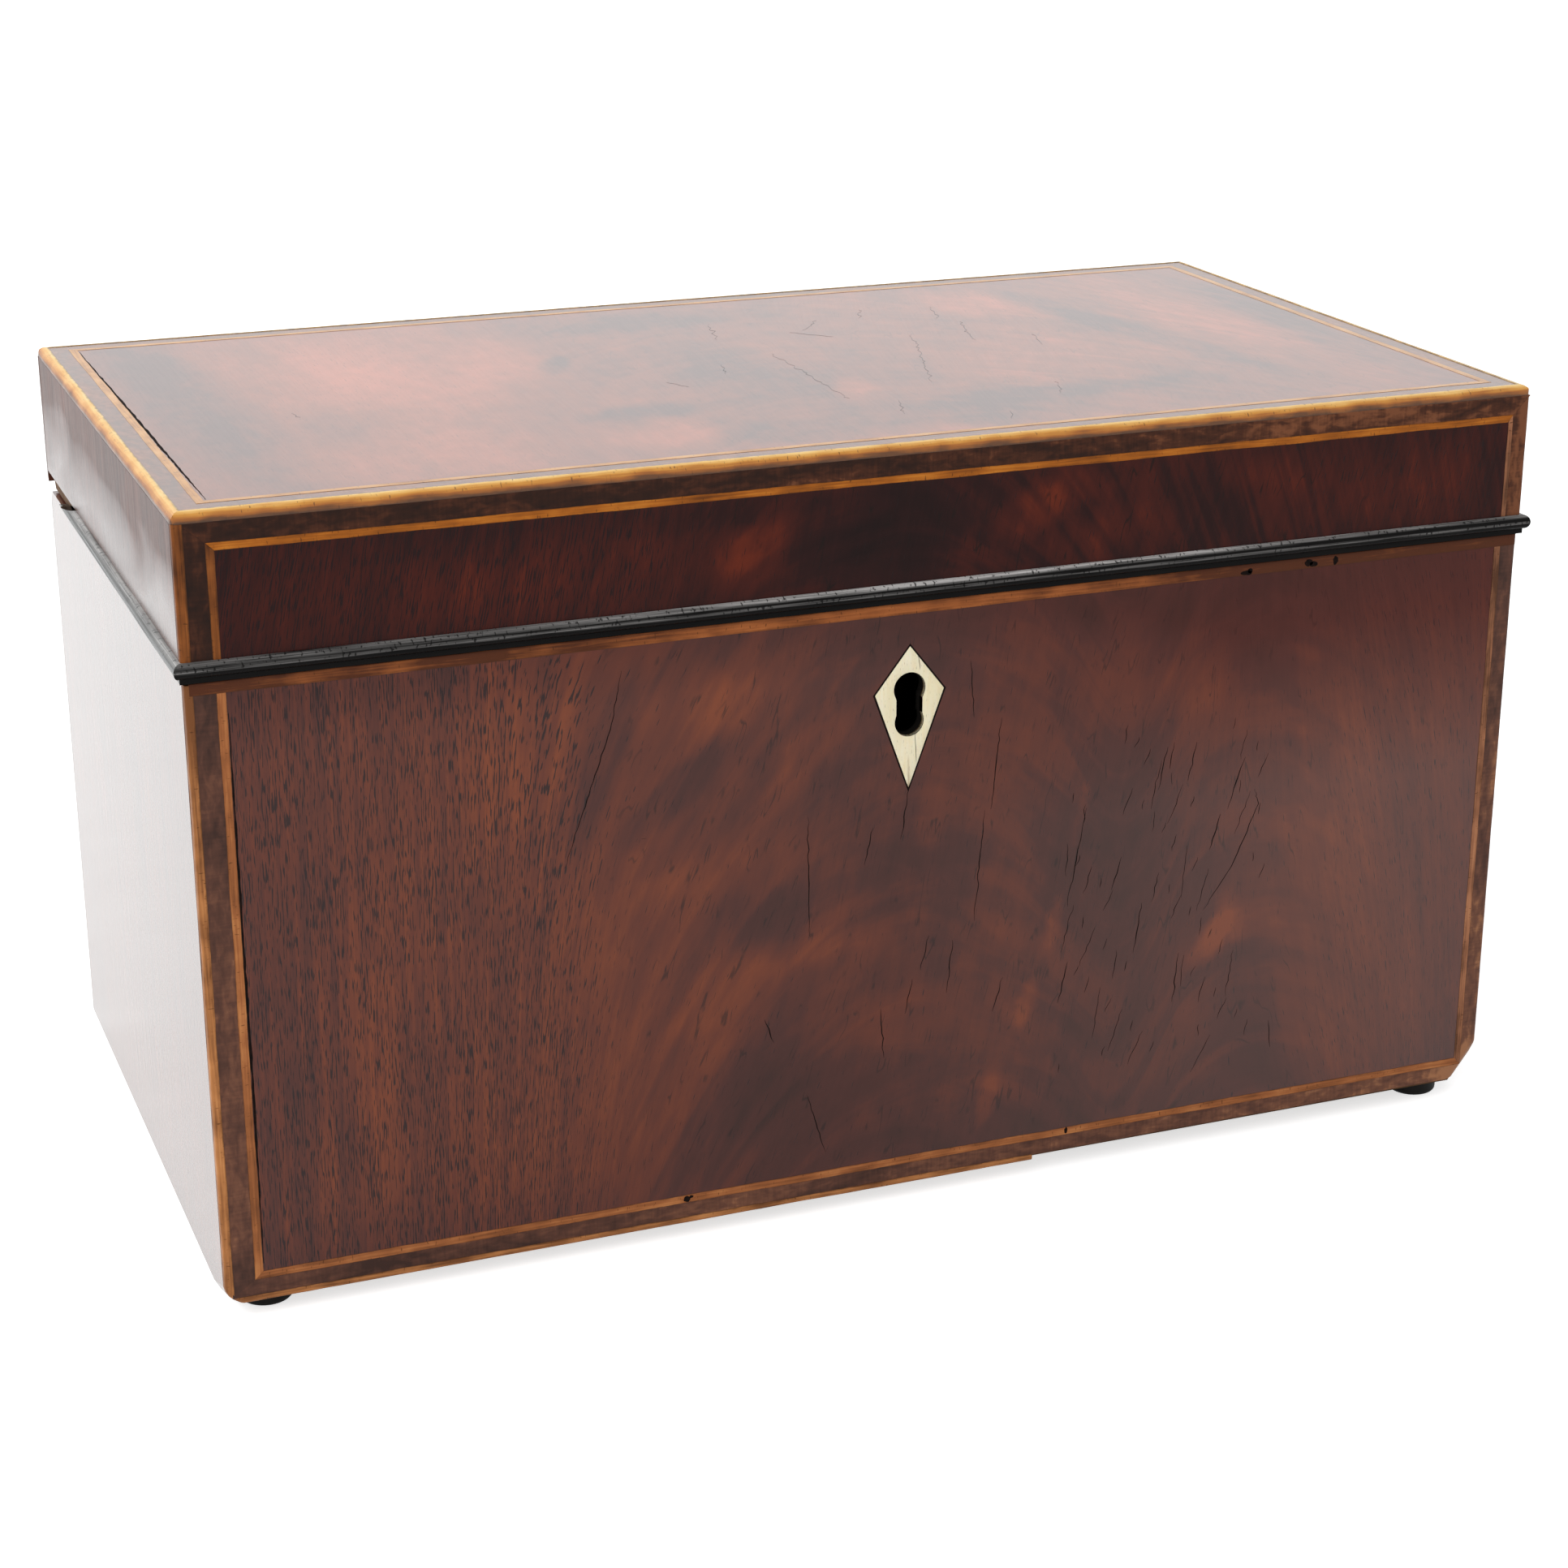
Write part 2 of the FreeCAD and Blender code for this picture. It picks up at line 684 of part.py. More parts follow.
# Inner lids, each with a turned knob tenoned through it
inner_lid_top = ledge + d.inner_lid
inner_lid_y = (room_front + d.inner_lid_clearance, room_back - d.inner_lid_clearance)
inner_lid_inner = d.inner_lid_clearance / 2
inner_lid_outer = room_half - d.inner_lid_clearance
knob_top = d.inner_lid + d.knob_height
knob_shoulder = knob_top - d.knob_crown
inner_lid_spans = {
    "left": (-inner_lid_outer, -inner_lid_inner),
    "right": (inner_lid_inner, inner_lid_outer),
}
for side, x in inner_lid_spans.items():
    middle_x = (x[0] + x[1]) / 2
    middle_y = (inner_lid_y[0] + inner_lid_y[1]) / 2
    panel = block(f"inner_lid_{side}_panel", x, inner_lid_y, (ledge, inner_lid_top))
    doc.recompute()
    bevelled = doc.addObject("Part::Chamfer", f"inner_lid_{side}_bevelled")
    bevelled.Base = panel
    bevel_width = d.inner_lid_bevel.value
    upper = panel.Shape.BoundBox.ZMax - bevel_width
    bevelled.Edges = [
        (number, bevel_width, bevel_width)
        for number, edge in enumerate(panel.Shape.Edges, start=1)
        if min(vertex.Z for vertex in edge.Vertexes) > upper
    ]
    seat = (middle_x, middle_y, ledge)
    tenon_hole = rod(f"knob_{side}_hole", d.knob_tenon_radius, d.inner_lid, seat, "z")
    keep(cut(f"inner_lid_{side}", bevelled, tenon_hole))
    keep(turned(
        f"knob_{side}",
        [(zero, zero), (d.knob_tenon_radius, zero), (d.knob_tenon_radius, d.inner_lid),
         (d.knob_base_radius, d.inner_lid), (d.knob_waist_radius, d.inner_lid + d.knob_waist),
         (d.knob_radius, knob_shoulder), (d.knob_crown_radius, knob_top), (zero, knob_top)],
        seat,
    ))

# Lid: four rails under a board, lined inside
link_x = (staple_middle - d.link_plate_length / 2, staple_middle + d.link_plate_length / 2)
link_y = (staple_y - d.link_plate_width / 2, staple_y + d.link_plate_width / 2)
link_bed = block("link_plate_bed", link_x, link_y, (joint, joint + d.link_plate))
link_screw_reach = d.link_screw_spacing / 2
link_screws = [
    screw(f"link_screw_{number}", (x, staple_y, joint), True)
    for number, x in enumerate((staple_middle - link_screw_reach, staple_middle + link_screw_reach))
]
keep(group("link_plate_screws", link_screws))
eye_half = d.staple_width / 2 - d.staple_wall
eye_top = nose_top + d.staple_clearance
eye_bottom = nose_bottom - d.staple_clearance
staple = block("staple", staple_x, (staple_y - d.staple_width / 2, staple_y + d.staple_width / 2),
               (eye_bottom - d.staple_toe, joint + d.link_plate))
staple_eye = block("staple_eye", staple_x, (staple_y - eye_half, staple_y + eye_half),
                   (eye_bottom, eye_top))
keep(cut("link_plate", fuse("link_plate_blank", [link_bed, staple]), staple_eye, *link_screws))

lid_board_x = (-lid_board_half, lid_board_half)
lid_rail_z = (joint, rail_top)
lid_front_blank = block("lid_front_rail_blank", lid_board_x, (lid_board_front, lid_room_front),
                        lid_rail_z)
keep(cut("lid_front_rail", lid_front_blank, link_bed, *link_screws))
lid_back_blank = block("lid_back_rail_blank", lid_board_x, (room_back, board_back), lid_rail_z)
lid_pockets = [pair.lid_pocket for pair in hinges]
keep(cut("lid_back_rail", lid_back_blank, lid_bevel, *barrels, *lid_pockets, *lid_hinge_screws))
lid_room_y = (lid_room_front, room_back)
for side, x in (("left", (-lid_board_half, -lid_room_half)), ("right", (lid_room_half, lid_board_half))):
    keep(block(f"lid_{side}_rail", x, lid_room_y, lid_rail_z))
keep(block("lid_lining", (-lid_room_half, lid_room_half), lid_room_y, (ceiling, rail_top)))


def on_arris(u, v):
    return u, v, crown - d.edging


# Lid inlay and veneers: a square edging round the top, then banding, stringing and a field
plan = (-lid_half, lid_front, lid_half, back)
arris, inner_plan = strips("lid_arris", TOP_TURN, on_arris, plan,
                           {side: d.edging for side in ("bottom", "right", "top", "left")}, d.edging)
lid_board_blank = block("lid_top_board_blank", lid_board_x, (lid_board_front, board_back),
                        (rail_top, crown - d.veneer))
keep(cut("lid_top_board", lid_board_blank, group("lid_arris_ring", list(arris.values()))))
inner_plan = inlay("lid_top_banding", TOP_TURN, on_lid_top, inner_plan,
                   {side: d.banding for side in ("bottom", "right", "top", "left")})
inner_plan = inlay("lid_top_stringing", TOP_TURN, on_lid_top, inner_plan,
                   {side: d.stringing for side in ("bottom", "right", "top", "left")})
left, bottom, right, top = inner_plan
keep(block("lid_top_veneer", (left, right), (bottom, top), (crown - d.veneer, crown)))

lid_face = (-lid_half, bead_top, lid_half, crown - d.edging)
lid_corner, lid_face = strips("lid_corner", FRONT_TURN, on_lid_front, lid_face,
                              {"left": d.edging}, d.veneer)
keep(group("lid_edging", [*arris.values(), *lid_corner.values()]))
lid_face = inlay("lid_front_banding", FRONT_TURN, on_lid_front, lid_face,
                 {"left": d.banding, "top": d.banding, "right": d.banding})
lid_face = inlay("lid_front_stringing", FRONT_TURN, on_lid_front, lid_face,
                 {"left": d.stringing, "top": d.stringing, "right": d.stringing})
left, bottom, right, top = lid_face
keep(block("lid_front_veneer", (left, right), (lid_front, lid_board_front), (bottom, top)))
lid_side_y = (lid_board_front, board_back)
lid_side_z = (bead_top, crown - d.edging)
keep(block("lid_left_veneer", (-lid_half, -lid_board_half), lid_side_y, lid_side_z))
keep(block("lid_right_veneer", (lid_board_half, lid_half), lid_side_y, lid_side_z))
lid_back_z = (joint, crown - d.edging)
lid_back_leaf = block("lid_back_veneer_blank", (-lid_half, lid_half), (board_back, back), lid_back_z)
keep(cut("lid_back_veneer", lid_back_leaf, lid_bevel, *barrels))

# Ebonised bead: one moulded section, mitred at the front, its sides stopping short of the back
bead_depth = d.veneer + d.bead_projection
bead_centre = (bead_depth - d.bead_radius, d.bead_fillet + d.bead_radius)
bead_fillet_depth = bead_depth - d.bead_fillet_set_in
bead_outline = [
    (zero, zero),
    (bead_fillet_depth, zero),
    (bead_fillet_depth, d.bead_fillet),
    (bead_centre[0], d.bead_fillet),
    (bead_depth, bead_centre[1]),
    (bead_centre[0], bead_height),
    (zero, bead_height),
]
bead_arcs = {3: (d.bead_radius, bead_centre), 4: (d.bead_radius, bead_centre)}
bead_outside = lid_board_half + bead_depth
bead_front = lid_board_front - bead_depth
bead_end = back - d.bead_stop
bead_side_run = bead_end - bead_front
bead_plan = (-bead_outside, bead_front, bead_outside, bead_end)


def at_joint(u, v):
    return u, v, joint


mitres, _ = strips("bead_mitre", TOP_TURN, at_joint, bead_plan,
                   {"left": bead_depth, "bottom": bead_depth, "right": bead_depth}, bead_height)


def bead(name, run, at, angle):
    length = padded(f"{name}_length", "YZ_Plane", bead_outline, run, bead_arcs)
    return place(length, at, Rotation(Vector(0, 0, 1), angle))


def tapered_end(name, x):
    """The long slanting cut that ends a side bead, as the wood to keep."""
    kept = doc.addObject("Part::Wedge", name)
    for prop in ("Xmin", "Ymin", "Zmin", "X2min", "Z2min"):
        setattr(kept, prop, 0)
    bind(kept, "Xmax", bead_side_run)
    bind(kept, "X2max", bead_side_run - d.bead_end_taper)
    bind(kept, "Ymax", bead_height)
    bind(kept, "Zmax", bead_depth)
    bind(kept, "Z2max", bead_depth)
    turn = Rotation(Vector(0, 0, 1), 90) * Rotation(Vector(1, 0, 0), 90)
    return place(kept, (x, bead_front, joint), turn)


front_bead = bead("front_moulding", bead_outside * 2, (bead_outside, lid_board_front, joint), 180)
keep(common("front_moulding", [front_bead, mitres["bottom"]]))
left_bead = bead("left_moulding", bead_side_run, (-lid_board_half, bead_front, joint), 90)
left_taper = tapered_end("left_taper", -bead_outside)
keep(common("left_moulding", [left_bead, mitres["left"], left_taper]))
right_bead = bead("right_moulding", bead_side_run, (lid_board_half, bead_end, joint), -90)
right_taper = tapered_end("right_taper", lid_board_half)
keep(common("right_moulding", [right_bead, mitres["right"], right_taper]))

doc.recompute()
for item in doc.Objects:
    if "Invalid" in item.State or "Error" in item.State:
        raise RuntimeError(f"{item.Label} did not build: {item.State}")
for piece in pieces:
    if piece.Shape.isNull() or not piece.Shape.isValid() or not piece.Shape.Solids:
        raise RuntimeError(f"{piece.Label} has no sound solid")

os.makedirs("parts", exist_ok=True)
for piece in pieces:
    piece.Shape.exportStep(f"parts/{piece.Label}.step")
print(f"{len(pieces)} pieces, {sum(len(piece.Shape.Solids) for piece in pieces)} solids")
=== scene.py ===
import math

import bmesh
import bpy
from mathutils import Matrix, Vector, noise


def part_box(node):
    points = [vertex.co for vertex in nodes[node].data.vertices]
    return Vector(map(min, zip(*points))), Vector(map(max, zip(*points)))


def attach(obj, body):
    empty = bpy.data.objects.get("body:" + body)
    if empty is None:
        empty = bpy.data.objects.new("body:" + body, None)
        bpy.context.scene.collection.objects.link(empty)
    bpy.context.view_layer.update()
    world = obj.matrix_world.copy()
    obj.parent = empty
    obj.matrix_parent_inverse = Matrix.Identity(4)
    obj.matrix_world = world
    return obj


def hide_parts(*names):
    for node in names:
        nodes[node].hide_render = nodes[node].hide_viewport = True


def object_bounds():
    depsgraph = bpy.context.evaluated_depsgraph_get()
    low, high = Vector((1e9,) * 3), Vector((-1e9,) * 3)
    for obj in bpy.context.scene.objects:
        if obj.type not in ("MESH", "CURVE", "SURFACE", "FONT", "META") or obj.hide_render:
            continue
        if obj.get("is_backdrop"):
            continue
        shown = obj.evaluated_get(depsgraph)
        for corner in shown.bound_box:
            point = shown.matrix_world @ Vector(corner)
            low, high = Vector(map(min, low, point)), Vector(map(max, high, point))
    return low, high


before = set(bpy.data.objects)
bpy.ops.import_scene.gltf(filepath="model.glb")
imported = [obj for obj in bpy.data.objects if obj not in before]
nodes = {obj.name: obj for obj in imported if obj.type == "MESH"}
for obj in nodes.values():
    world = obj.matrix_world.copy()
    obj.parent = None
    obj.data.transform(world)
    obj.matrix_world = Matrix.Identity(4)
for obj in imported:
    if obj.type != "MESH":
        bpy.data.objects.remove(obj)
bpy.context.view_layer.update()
scene = bpy.context.scene

MM = 0.001

# Widths of the inlaid lines, across each line
EDGING = 1.6 * MM
LEFT_EDGING = 1.25 * MM
BASE_EDGING = 1.15 * MM
BANDING = 3.0 * MM
BASE_BANDING = 2.1 * MM
STRINGING = 1.3 * MM

# How far one leaf runs on under the next, and how far a line stands proud of its bed
UNDERLAP = 0.5 * MM
STRING_PROUD = 0.04 * MM
EDGING_PROUD = 0.06 * MM
RIM_PROUD = 1.1 * EDGING_PROUD

# Lower front corners: how deep each is worn, which way the worn face looks, and how its edges are eased
RIGHT_WEAR = 3.6 * MM
RIGHT_WEAR_FACING = Vector((4, -3.4, -3)).normalized()
LEFT_WEAR = 1.5 * MM
LEFT_WEAR_FACING = Vector((-1, -0.35, -1)).normalized()
CORNER_EASED = 0.28 * MM

# Points nearer than these are one point, in a made piece and in a node; touching points share a face
PIECE_WELD = 0.0005 * MM
NODE_WELD = 0.002 * MM
TOUCHING = 0.001 * MM

# Faces that turn by less than this are shaded as one, and edges that turn by more are softened
SMOOTH_BELOW = math.radians(38)
SOFTEN_ABOVE = math.radians(40)

# Near black: painted shade for what is seen through the keyhole
KEYHOLE_SHADE = "#0d0906"


# Shader helpers

def linear(colour):
    """A colour written as sRGB hex, as the linear light that shaders take."""
    channels = [int(colour[at:at + 2], 16) / 255 for at in (1, 3, 5)]
    return [c / 12.92 if c <= 0.04045 else ((c + 0.055) / 1.055) ** 2.4 for c in channels] + [1.0]


def add(tree, kind, inputs=(), stops=(), **settings):
    """Add a node: its settings, its inputs as values or links, and the stops of a colour ramp."""
    made = tree.nodes.new(kind)
    for key, value in settings.items():
        setattr(made, key, value)
    for key, value in dict(inputs).items():
        if isinstance(value, bpy.types.NodeSocket):
            tree.links.new(value, made.inputs[key])
        else:
            made.inputs[key].default_value = value
    for number, (place, colour) in enumerate(stops):
        elements = made.color_ramp.elements
        element = elements[number] if number < 2 else elements.new(place)
        element.position = place
        element.color = linear(colour)
    return made


def new_finish(name, **sockets):
    """A material with one Principled shader; sockets are the values that are the same all over."""
    material = bpy.data.materials.new(name)
    material.use_nodes = True
    tree = material.node_tree
    tree.nodes.clear()
    shader = add(tree, "ShaderNodeBsdfPrincipled")
    for key, value in sockets.items():
        shader.inputs[key.replace("_", " ").title().replace("Ior", "IOR")].default_value = value
    add(tree, "ShaderNodeOutputMaterial", {"Surface": shader.outputs[0]})
    return material, tree, shader.inputs


class Grain:
    """Patterns drawn out along the fibres of one wood.

    A modelled piece carries its fibres as the attribute "grain": metres along, metres across, and
    a third number of its own. On a CAD node the fibres follow one axis of the caddy.
    """

    AXES = {"x": (0, 1, 2), "y": (1, 2, 0), "z": (2, 0, 1)}

    def __init__(self, tree, along=None):
        self.tree = tree
        self.depth = along is not None
        if along is None:
            self.place = add(tree, "ShaderNodeAttribute", attribute_name="grain").outputs["Vector"]
            return
        place = add(tree, "ShaderNodeTexCoord").outputs["Object"]
        axis = add(tree, "ShaderNodeSeparateXYZ", {0: place}).outputs
        turned_axes = {number: axis[source] for number, source in enumerate(self.AXES[along])}
        self.place = add(tree, "ShaderNodeCombineXYZ", turned_axes).outputs[0]

    def parts(self):
        """A place's metres along and across its fibres, and its third number, apart."""
        return add(self.tree, "ShaderNodeSeparateXYZ", {0: self.place}).outputs

    def feed(self, shader, **sources):
        """Link sources to the shader's sockets, named as new_finish names them."""
        for key, source in sources.items():
            self.tree.links.new(source, shader[key.replace("_", " ").title()])

    def pattern(self, length, width, detail=2.0, distortion=0.0, shift=0.0):
        """Cloudy streaks of this length and width, in millimetres."""
        across = 1 / (width * MM)
        scale = (1 / (length * MM), across, across if self.depth else 0.0)
        placed = add(self.tree, "ShaderNodeVectorMath",
                     {0: self.place, 1: scale, 2: (shift, shift, shift)}, operation="MULTIPLY_ADD")
        inputs = {"Vector": placed.outputs[0], "Scale": 1.0, "Detail": detail, "Distortion": distortion}
        return add(self.tree, "ShaderNodeTexNoise", inputs).outputs["Fac"]

    def weigh(self, base, source, amount):
        """base plus source times amount."""
        inputs = {0: source, 1: amount, 2: base}
        return add(self.tree, "ShaderNodeMath", inputs, operation="MULTIPLY_ADD").outputs[0]

    def between(self, source, low, high, to_low=0.0, to_high=1.0):
        """The source stretched from one range to another, and held inside it."""
        inputs = {0: source, 1: low, 2: high, 3: to_low, 4: to_high}
        return add(self.tree, "ShaderNodeMapRange", inputs).outputs[0]

    def tint(self, under, over, amount):
        """One colour laid over another."""
        inputs = {"Factor": amount, 6: under, 7: linear(over)}
        return add(self.tree, "ShaderNodeMix", inputs, data_type="RGBA").outputs[2]

    def colours(self, darkness, stops):
        return add(self.tree, "ShaderNodeValToRGB", {0: darkness}, stops).outputs[0]

    def relief(self, height, depth, strength=1.0):
        """Bump of this depth in millimetres."""
        inputs = {"Height": height, "Distance": depth * MM, "Strength": strength}
        return add(self.tree, "ShaderNodeBump", inputs).outputs[0]


# Finishes

def mahogany(name, stops, along=None, figured=False, tone=0.42, pores=0.6, clouded=0.45, fibrous=0.22,
             streaky=1.0, relief=0.05, painted_haze_and_shade=0.0, worn_polish=0.0, **sockets):
    """Mahogany, sanded and French polished: red-brown, with streaks, fine fibres and short dark pores under a
    thin gloss. A figured leaf carries its tone, feather and pores as the attribute "figure"; where it
    feathers it is crazed by fine dark lines. With painted reflection and shade turned on, a painted
    reflection greys its lower right and painted shade darkens its upper right to a deeper red; there and
    along its top its polish is thinner. Worn polish is dull in patches, most of all high up and toward the
    back.
    """
    material, tree, shader = new_finish(name, **sockets)
    grain = Grain(tree, along)
    clouds = grain.pattern(46, 13, 3, 0.4)
    streaks = grain.pattern(60, 1.7, 2, shift=2.0)
    fibres = grain.pattern(16, 0.5, 3)
    dashes = grain.pattern(2.7, 0.21, 1, shift=3.0)
    clusters = grain.pattern(15, 2.4, 2, shift=17.0)
    mottle = grain.pattern(6, 3.2, 3, shift=7.0)
    coarse = grain.weigh(grain.weigh(-0.5, streaks, 0.55), fibres, 0.45)
    density = 0.6
    base = tone
    if figured:
        figure = add(tree, "ShaderNodeAttribute", attribute_name="figure").outputs["Vector"]
        base, feather, density = add(tree, "ShaderNodeSeparateXYZ", {0: figure}).outputs
        part = grain.parts()
        arch = add(tree, "ShaderNodeCombineXYZ", {0: part[2], 1: part[1]}).outputs[0]
        arch = add(tree, "ShaderNodeVectorMath", {0: arch, 1: (1 / (7.5 * MM), 1 / (22 * MM), 0)},
                   operation="MULTIPLY").outputs[0]
        bands = add(tree, "ShaderNodeTexNoise", {"Vector": arch, "Scale": 1.0, "Detail": 5.0,
                                                 "Distortion": 0.9}).outputs["Fac"]
        base = grain.weigh(base, grain.between(bands, 0.38, 0.62, -0.16, 0.16), feather)
    darkness = grain.weigh(base, grain.weigh(-0.5, clouds, 1.0), clouded)
    darkness = grain.weigh(darkness, coarse, grain.weigh(fibrous, density, streaky) if figured else 0.75)
    darkness = grain.weigh(darkness, grain.weigh(-0.5, mottle, 1.0), 0.3)
    clustered = grain.weigh(0.0, clusters, density)
    pore = grain.between(grain.weigh(dashes, clustered, 0.3), 0.70, 0.76, 0.0, pores)
    colour = grain.tint(grain.colours(darkness, stops), "#1f1213", pore)
    if figured:
        contour = grain.weigh(-0.5, grain.pattern(9, 1.5, 1, 0.3, shift=12.0), 1.0)
        contour = add(tree, "ShaderNodeMath", {0: contour}, operation="ABSOLUTE").outputs[0]
        hairline = grain.between(contour, 0.008, 0.03, 1.0, 0.0)
        broken = grain.between(grain.pattern(4.5, 3, 2, shift=15.0), 0.54, 0.64)
        crazed = grain.weigh(0.0, grain.weigh(0.0, hairline, broken), feather)
        colour = grain.tint(colour, "#1a0f0d", crazed)
        if painted_haze_and_shade:
            # Painted reflection: grey over the lower right
            low_down = grain.between(part[0], 92 * MM, 62 * MM, 0.0, painted_haze_and_shade)
            bloom = grain.weigh(0.0, grain.between(part[1], 0.0, 90 * MM), low_down)
            colour = grain.tint(colour, "#a58f8a", bloom)
            # Painted shade: a deeper red over the upper right, where the polish is also thinner; thinner
            # polish along the top as well
            high_up = grain.between(part[0], 64 * MM, 90 * MM)
            thin = grain.weigh(0.0, grain.between(part[1], -10 * MM, 55 * MM), high_up)
            colour = grain.tint(colour, "#5c1808", grain.weigh(0.0, thin, 0.3))
            thin = grain.weigh(thin, grain.between(part[0], 91 * MM, 99 * MM), 0.6)
            polish = sockets["coat_weight"]
            grain.feed(shader, coat_weight=grain.between(thin, 0.0, 1.0, polish, 0.35 * polish))
    patchy = 1.6 * relief
    rough = grain.between(fibres, 0.2, 0.8, 0.38 - patchy, 0.38 + patchy)
    height = grain.weigh(grain.weigh(0.0, fibres, 0.3), pore, -1.0)
    grain.feed(shader, base_color=colour, roughness=rough, normal=grain.relief(height, relief, 0.5))
    if worn_polish:
        rise, _, depth = grain.parts()
        low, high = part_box("lid_left_veneer")
        worn = grain.weigh(grain.between(rise, low.z, high.z, -0.3, 0.47),
                           grain.between(depth, low.y, high.y, 0.02, 0.16), 1.0)
        worn = grain.weigh(worn, grain.pattern(16, 60, 3, 0.6, shift=21.0), 1.3)
        grain.feed(shader, coat_weight=grain.between(worn, 0.4, 0.95, 1.0, 1.0 - worn_polish))
    return material


def boxwood(name, stops, dirt, gloss=0.0, specular=0.12, dulled=(), highlight_and_dirty_foot=0.0, mottled=1.0):
    """Boxwood, split and scraped: close-grained and yellow-orange, its edges dark with old polish and crossed
    by fine dark ticks. It is darker from one place along it to another, in millimetres: dulled polish, and
    under the bead painted shade as well. An arris with a highlight and dirty foot has a painted highlight
    along its upper rounding and is dark along its lower edge, with dirt and painted shade."""
    material, tree, shader = new_finish(
        name, specular_ior_level=specular, coat_weight=gloss, coat_roughness=0.2)
    grain = Grain(tree)
    streaks = grain.pattern(9, 0.35, 3)
    patches = grain.pattern(7, 5, 3, shift=5.0)
    ticks = grain.pattern(0.32, 1.1, 1, shift=9.0)
    darkness = grain.weigh(0.5 - 0.85 * mottled, streaks, 0.75 * mottled)
    darkness = grain.weigh(darkness, patches, 0.95 * mottled)
    part = grain.parts()
    for clean, dull, amount in dulled:
        darkness = grain.weigh(darkness, grain.between(part[0], clean * MM, dull * MM), amount)
    # Painted highlight along an arris's upper rounding, and dirt with painted shade along its lower edge
    if highlight_and_dirty_foot:
        darkness = grain.weigh(darkness, grain.between(part[2], 0.0, 0.95, 1.0, 0.0), highlight_and_dirty_foot)
    colour = grain.colours(darkness, stops)
    from_middle = grain.weigh(-0.5, part[2], 1.0)
    from_middle = add(tree, "ShaderNodeMath", {0: from_middle}, operation="ABSOLUTE").outputs[0]
    ragged = grain.weigh(from_middle, grain.pattern(1.6, 1.6, 2, shift=2.0), 0.22)
    grime = grain.between(ragged, 0.52, 0.62, 0.0, dirt)
    colour = grain.tint(colour, "#3a2413", grime)
    colour = grain.tint(colour, "#4a2a12", grain.between(ticks, 0.66, 0.74, 0.0, 0.7))
    rough = grain.between(patches, 0.2, 0.8, 0.34, 0.55)
    height = grain.weigh(grain.weigh(0.0, streaks, 0.5), ticks, -0.5)
    grain.feed(shader, base_color=colour, roughness=rough, normal=grain.relief(height, 0.04, 0.6))
    return material


def crossbanding(name, stops, specular, gloss):
    """Cross-cut dark mahogany banding: short fibres across the band, rubbed pale brown in patches and
    along handled edges."""
    material, tree, shader = new_finish(
        name, specular_ior_level=specular, coat_weight=gloss, coat_roughness=0.2)
    grain = Grain(tree)
    fibres = grain.pattern(0.5, 5, 2)
    rubbed = grain.pattern(14, 5, 3, 0.8, shift=4.0)
    spots = grain.pattern(2.6, 1.1, 3, 0.4, shift=6.0)
    handled = grain.parts()[2]
    darkness = grain.weigh(grain.weigh(-0.23, fibres, 0.22), rubbed, 0.7)
    darkness = grain.weigh(darkness, spots, 0.6)
    darkness = grain.weigh(darkness, handled, -0.35)
    rough = grain.between(rubbed, 0.25, 0.75, 0.5, 0.36)
    grain.feed(shader, base_color=grain.colours(darkness, stops), roughness=rough,
               normal=grain.relief(fibres, 0.03, 0.5))
    return material


def ebonised(name, specular):
    """Pearwood stained black and polished: black below; its upper edge and the middle of its nose pale grey,
    rubbed wear with a painted highlight and sheen, and scratched along its length."""
    material, tree, shader = new_finish(name, specular_ior_level=specular)
    grain = Grain(tree)
    scratches = grain.pattern(14, 0.16, 4, 0.3)
    patches = grain.pattern(18, 2, 3, shift=4.0)
    nicks = grain.pattern(0.45, 0.9, 1, shift=8.0)
    wear = grain.parts()[2]
    rubbed = grain.weigh(grain.weigh(-0.85, scratches, 1.9), patches, 0.9)
    rubbed = add(tree, "ShaderNodeMath", {0: rubbed, 1: wear},
                 operation="MULTIPLY", use_clamp=True).outputs[0]
    black = grain.colours(patches, ((0.3, "#070606"), (0.7, "#110f0e")))
    # Pale grey: rubbed wear with a painted highlight and sheen
    colour = grain.tint(black, "#c9c6c4", grain.between(rubbed, 0.05, 0.8))
    colour = grain.tint(colour, "#0b0a0a", grain.between(nicks, 0.6, 0.68, 0.0, 0.85))
    rough = grain.between(rubbed, 0.0, 0.4, 0.24, 0.5)
    height = grain.weigh(grain.weigh(0.0, scratches, 0.6), nicks, -0.6)
    grain.feed(shader, base_color=colour, roughness=rough, normal=grain.relief(height, 0.06, 0.6))
    return material


def black_button():
    """Turned feet of ebonised wood, dulled by handling: near black, with faint scratches."""
    material, tree, shader = new_finish("ebonised_wood_dull", specular_ior_level=0.15)
    grain = Grain(tree, "x")
    dust = grain.pattern(1.5, 1.5, 4)
    colour = grain.colours(dust, ((0.35, "#0b0a09"), (0.75, "#1d1a18")))
    rough = grain.between(dust, 0.3, 0.7, 0.38, 0.6)
    scratches = grain.pattern(5, 0.3, 2)
    grain.feed(shader, base_color=colour, roughness=rough, normal=grain.relief(scratches, 0.04, 0.4))
    return material


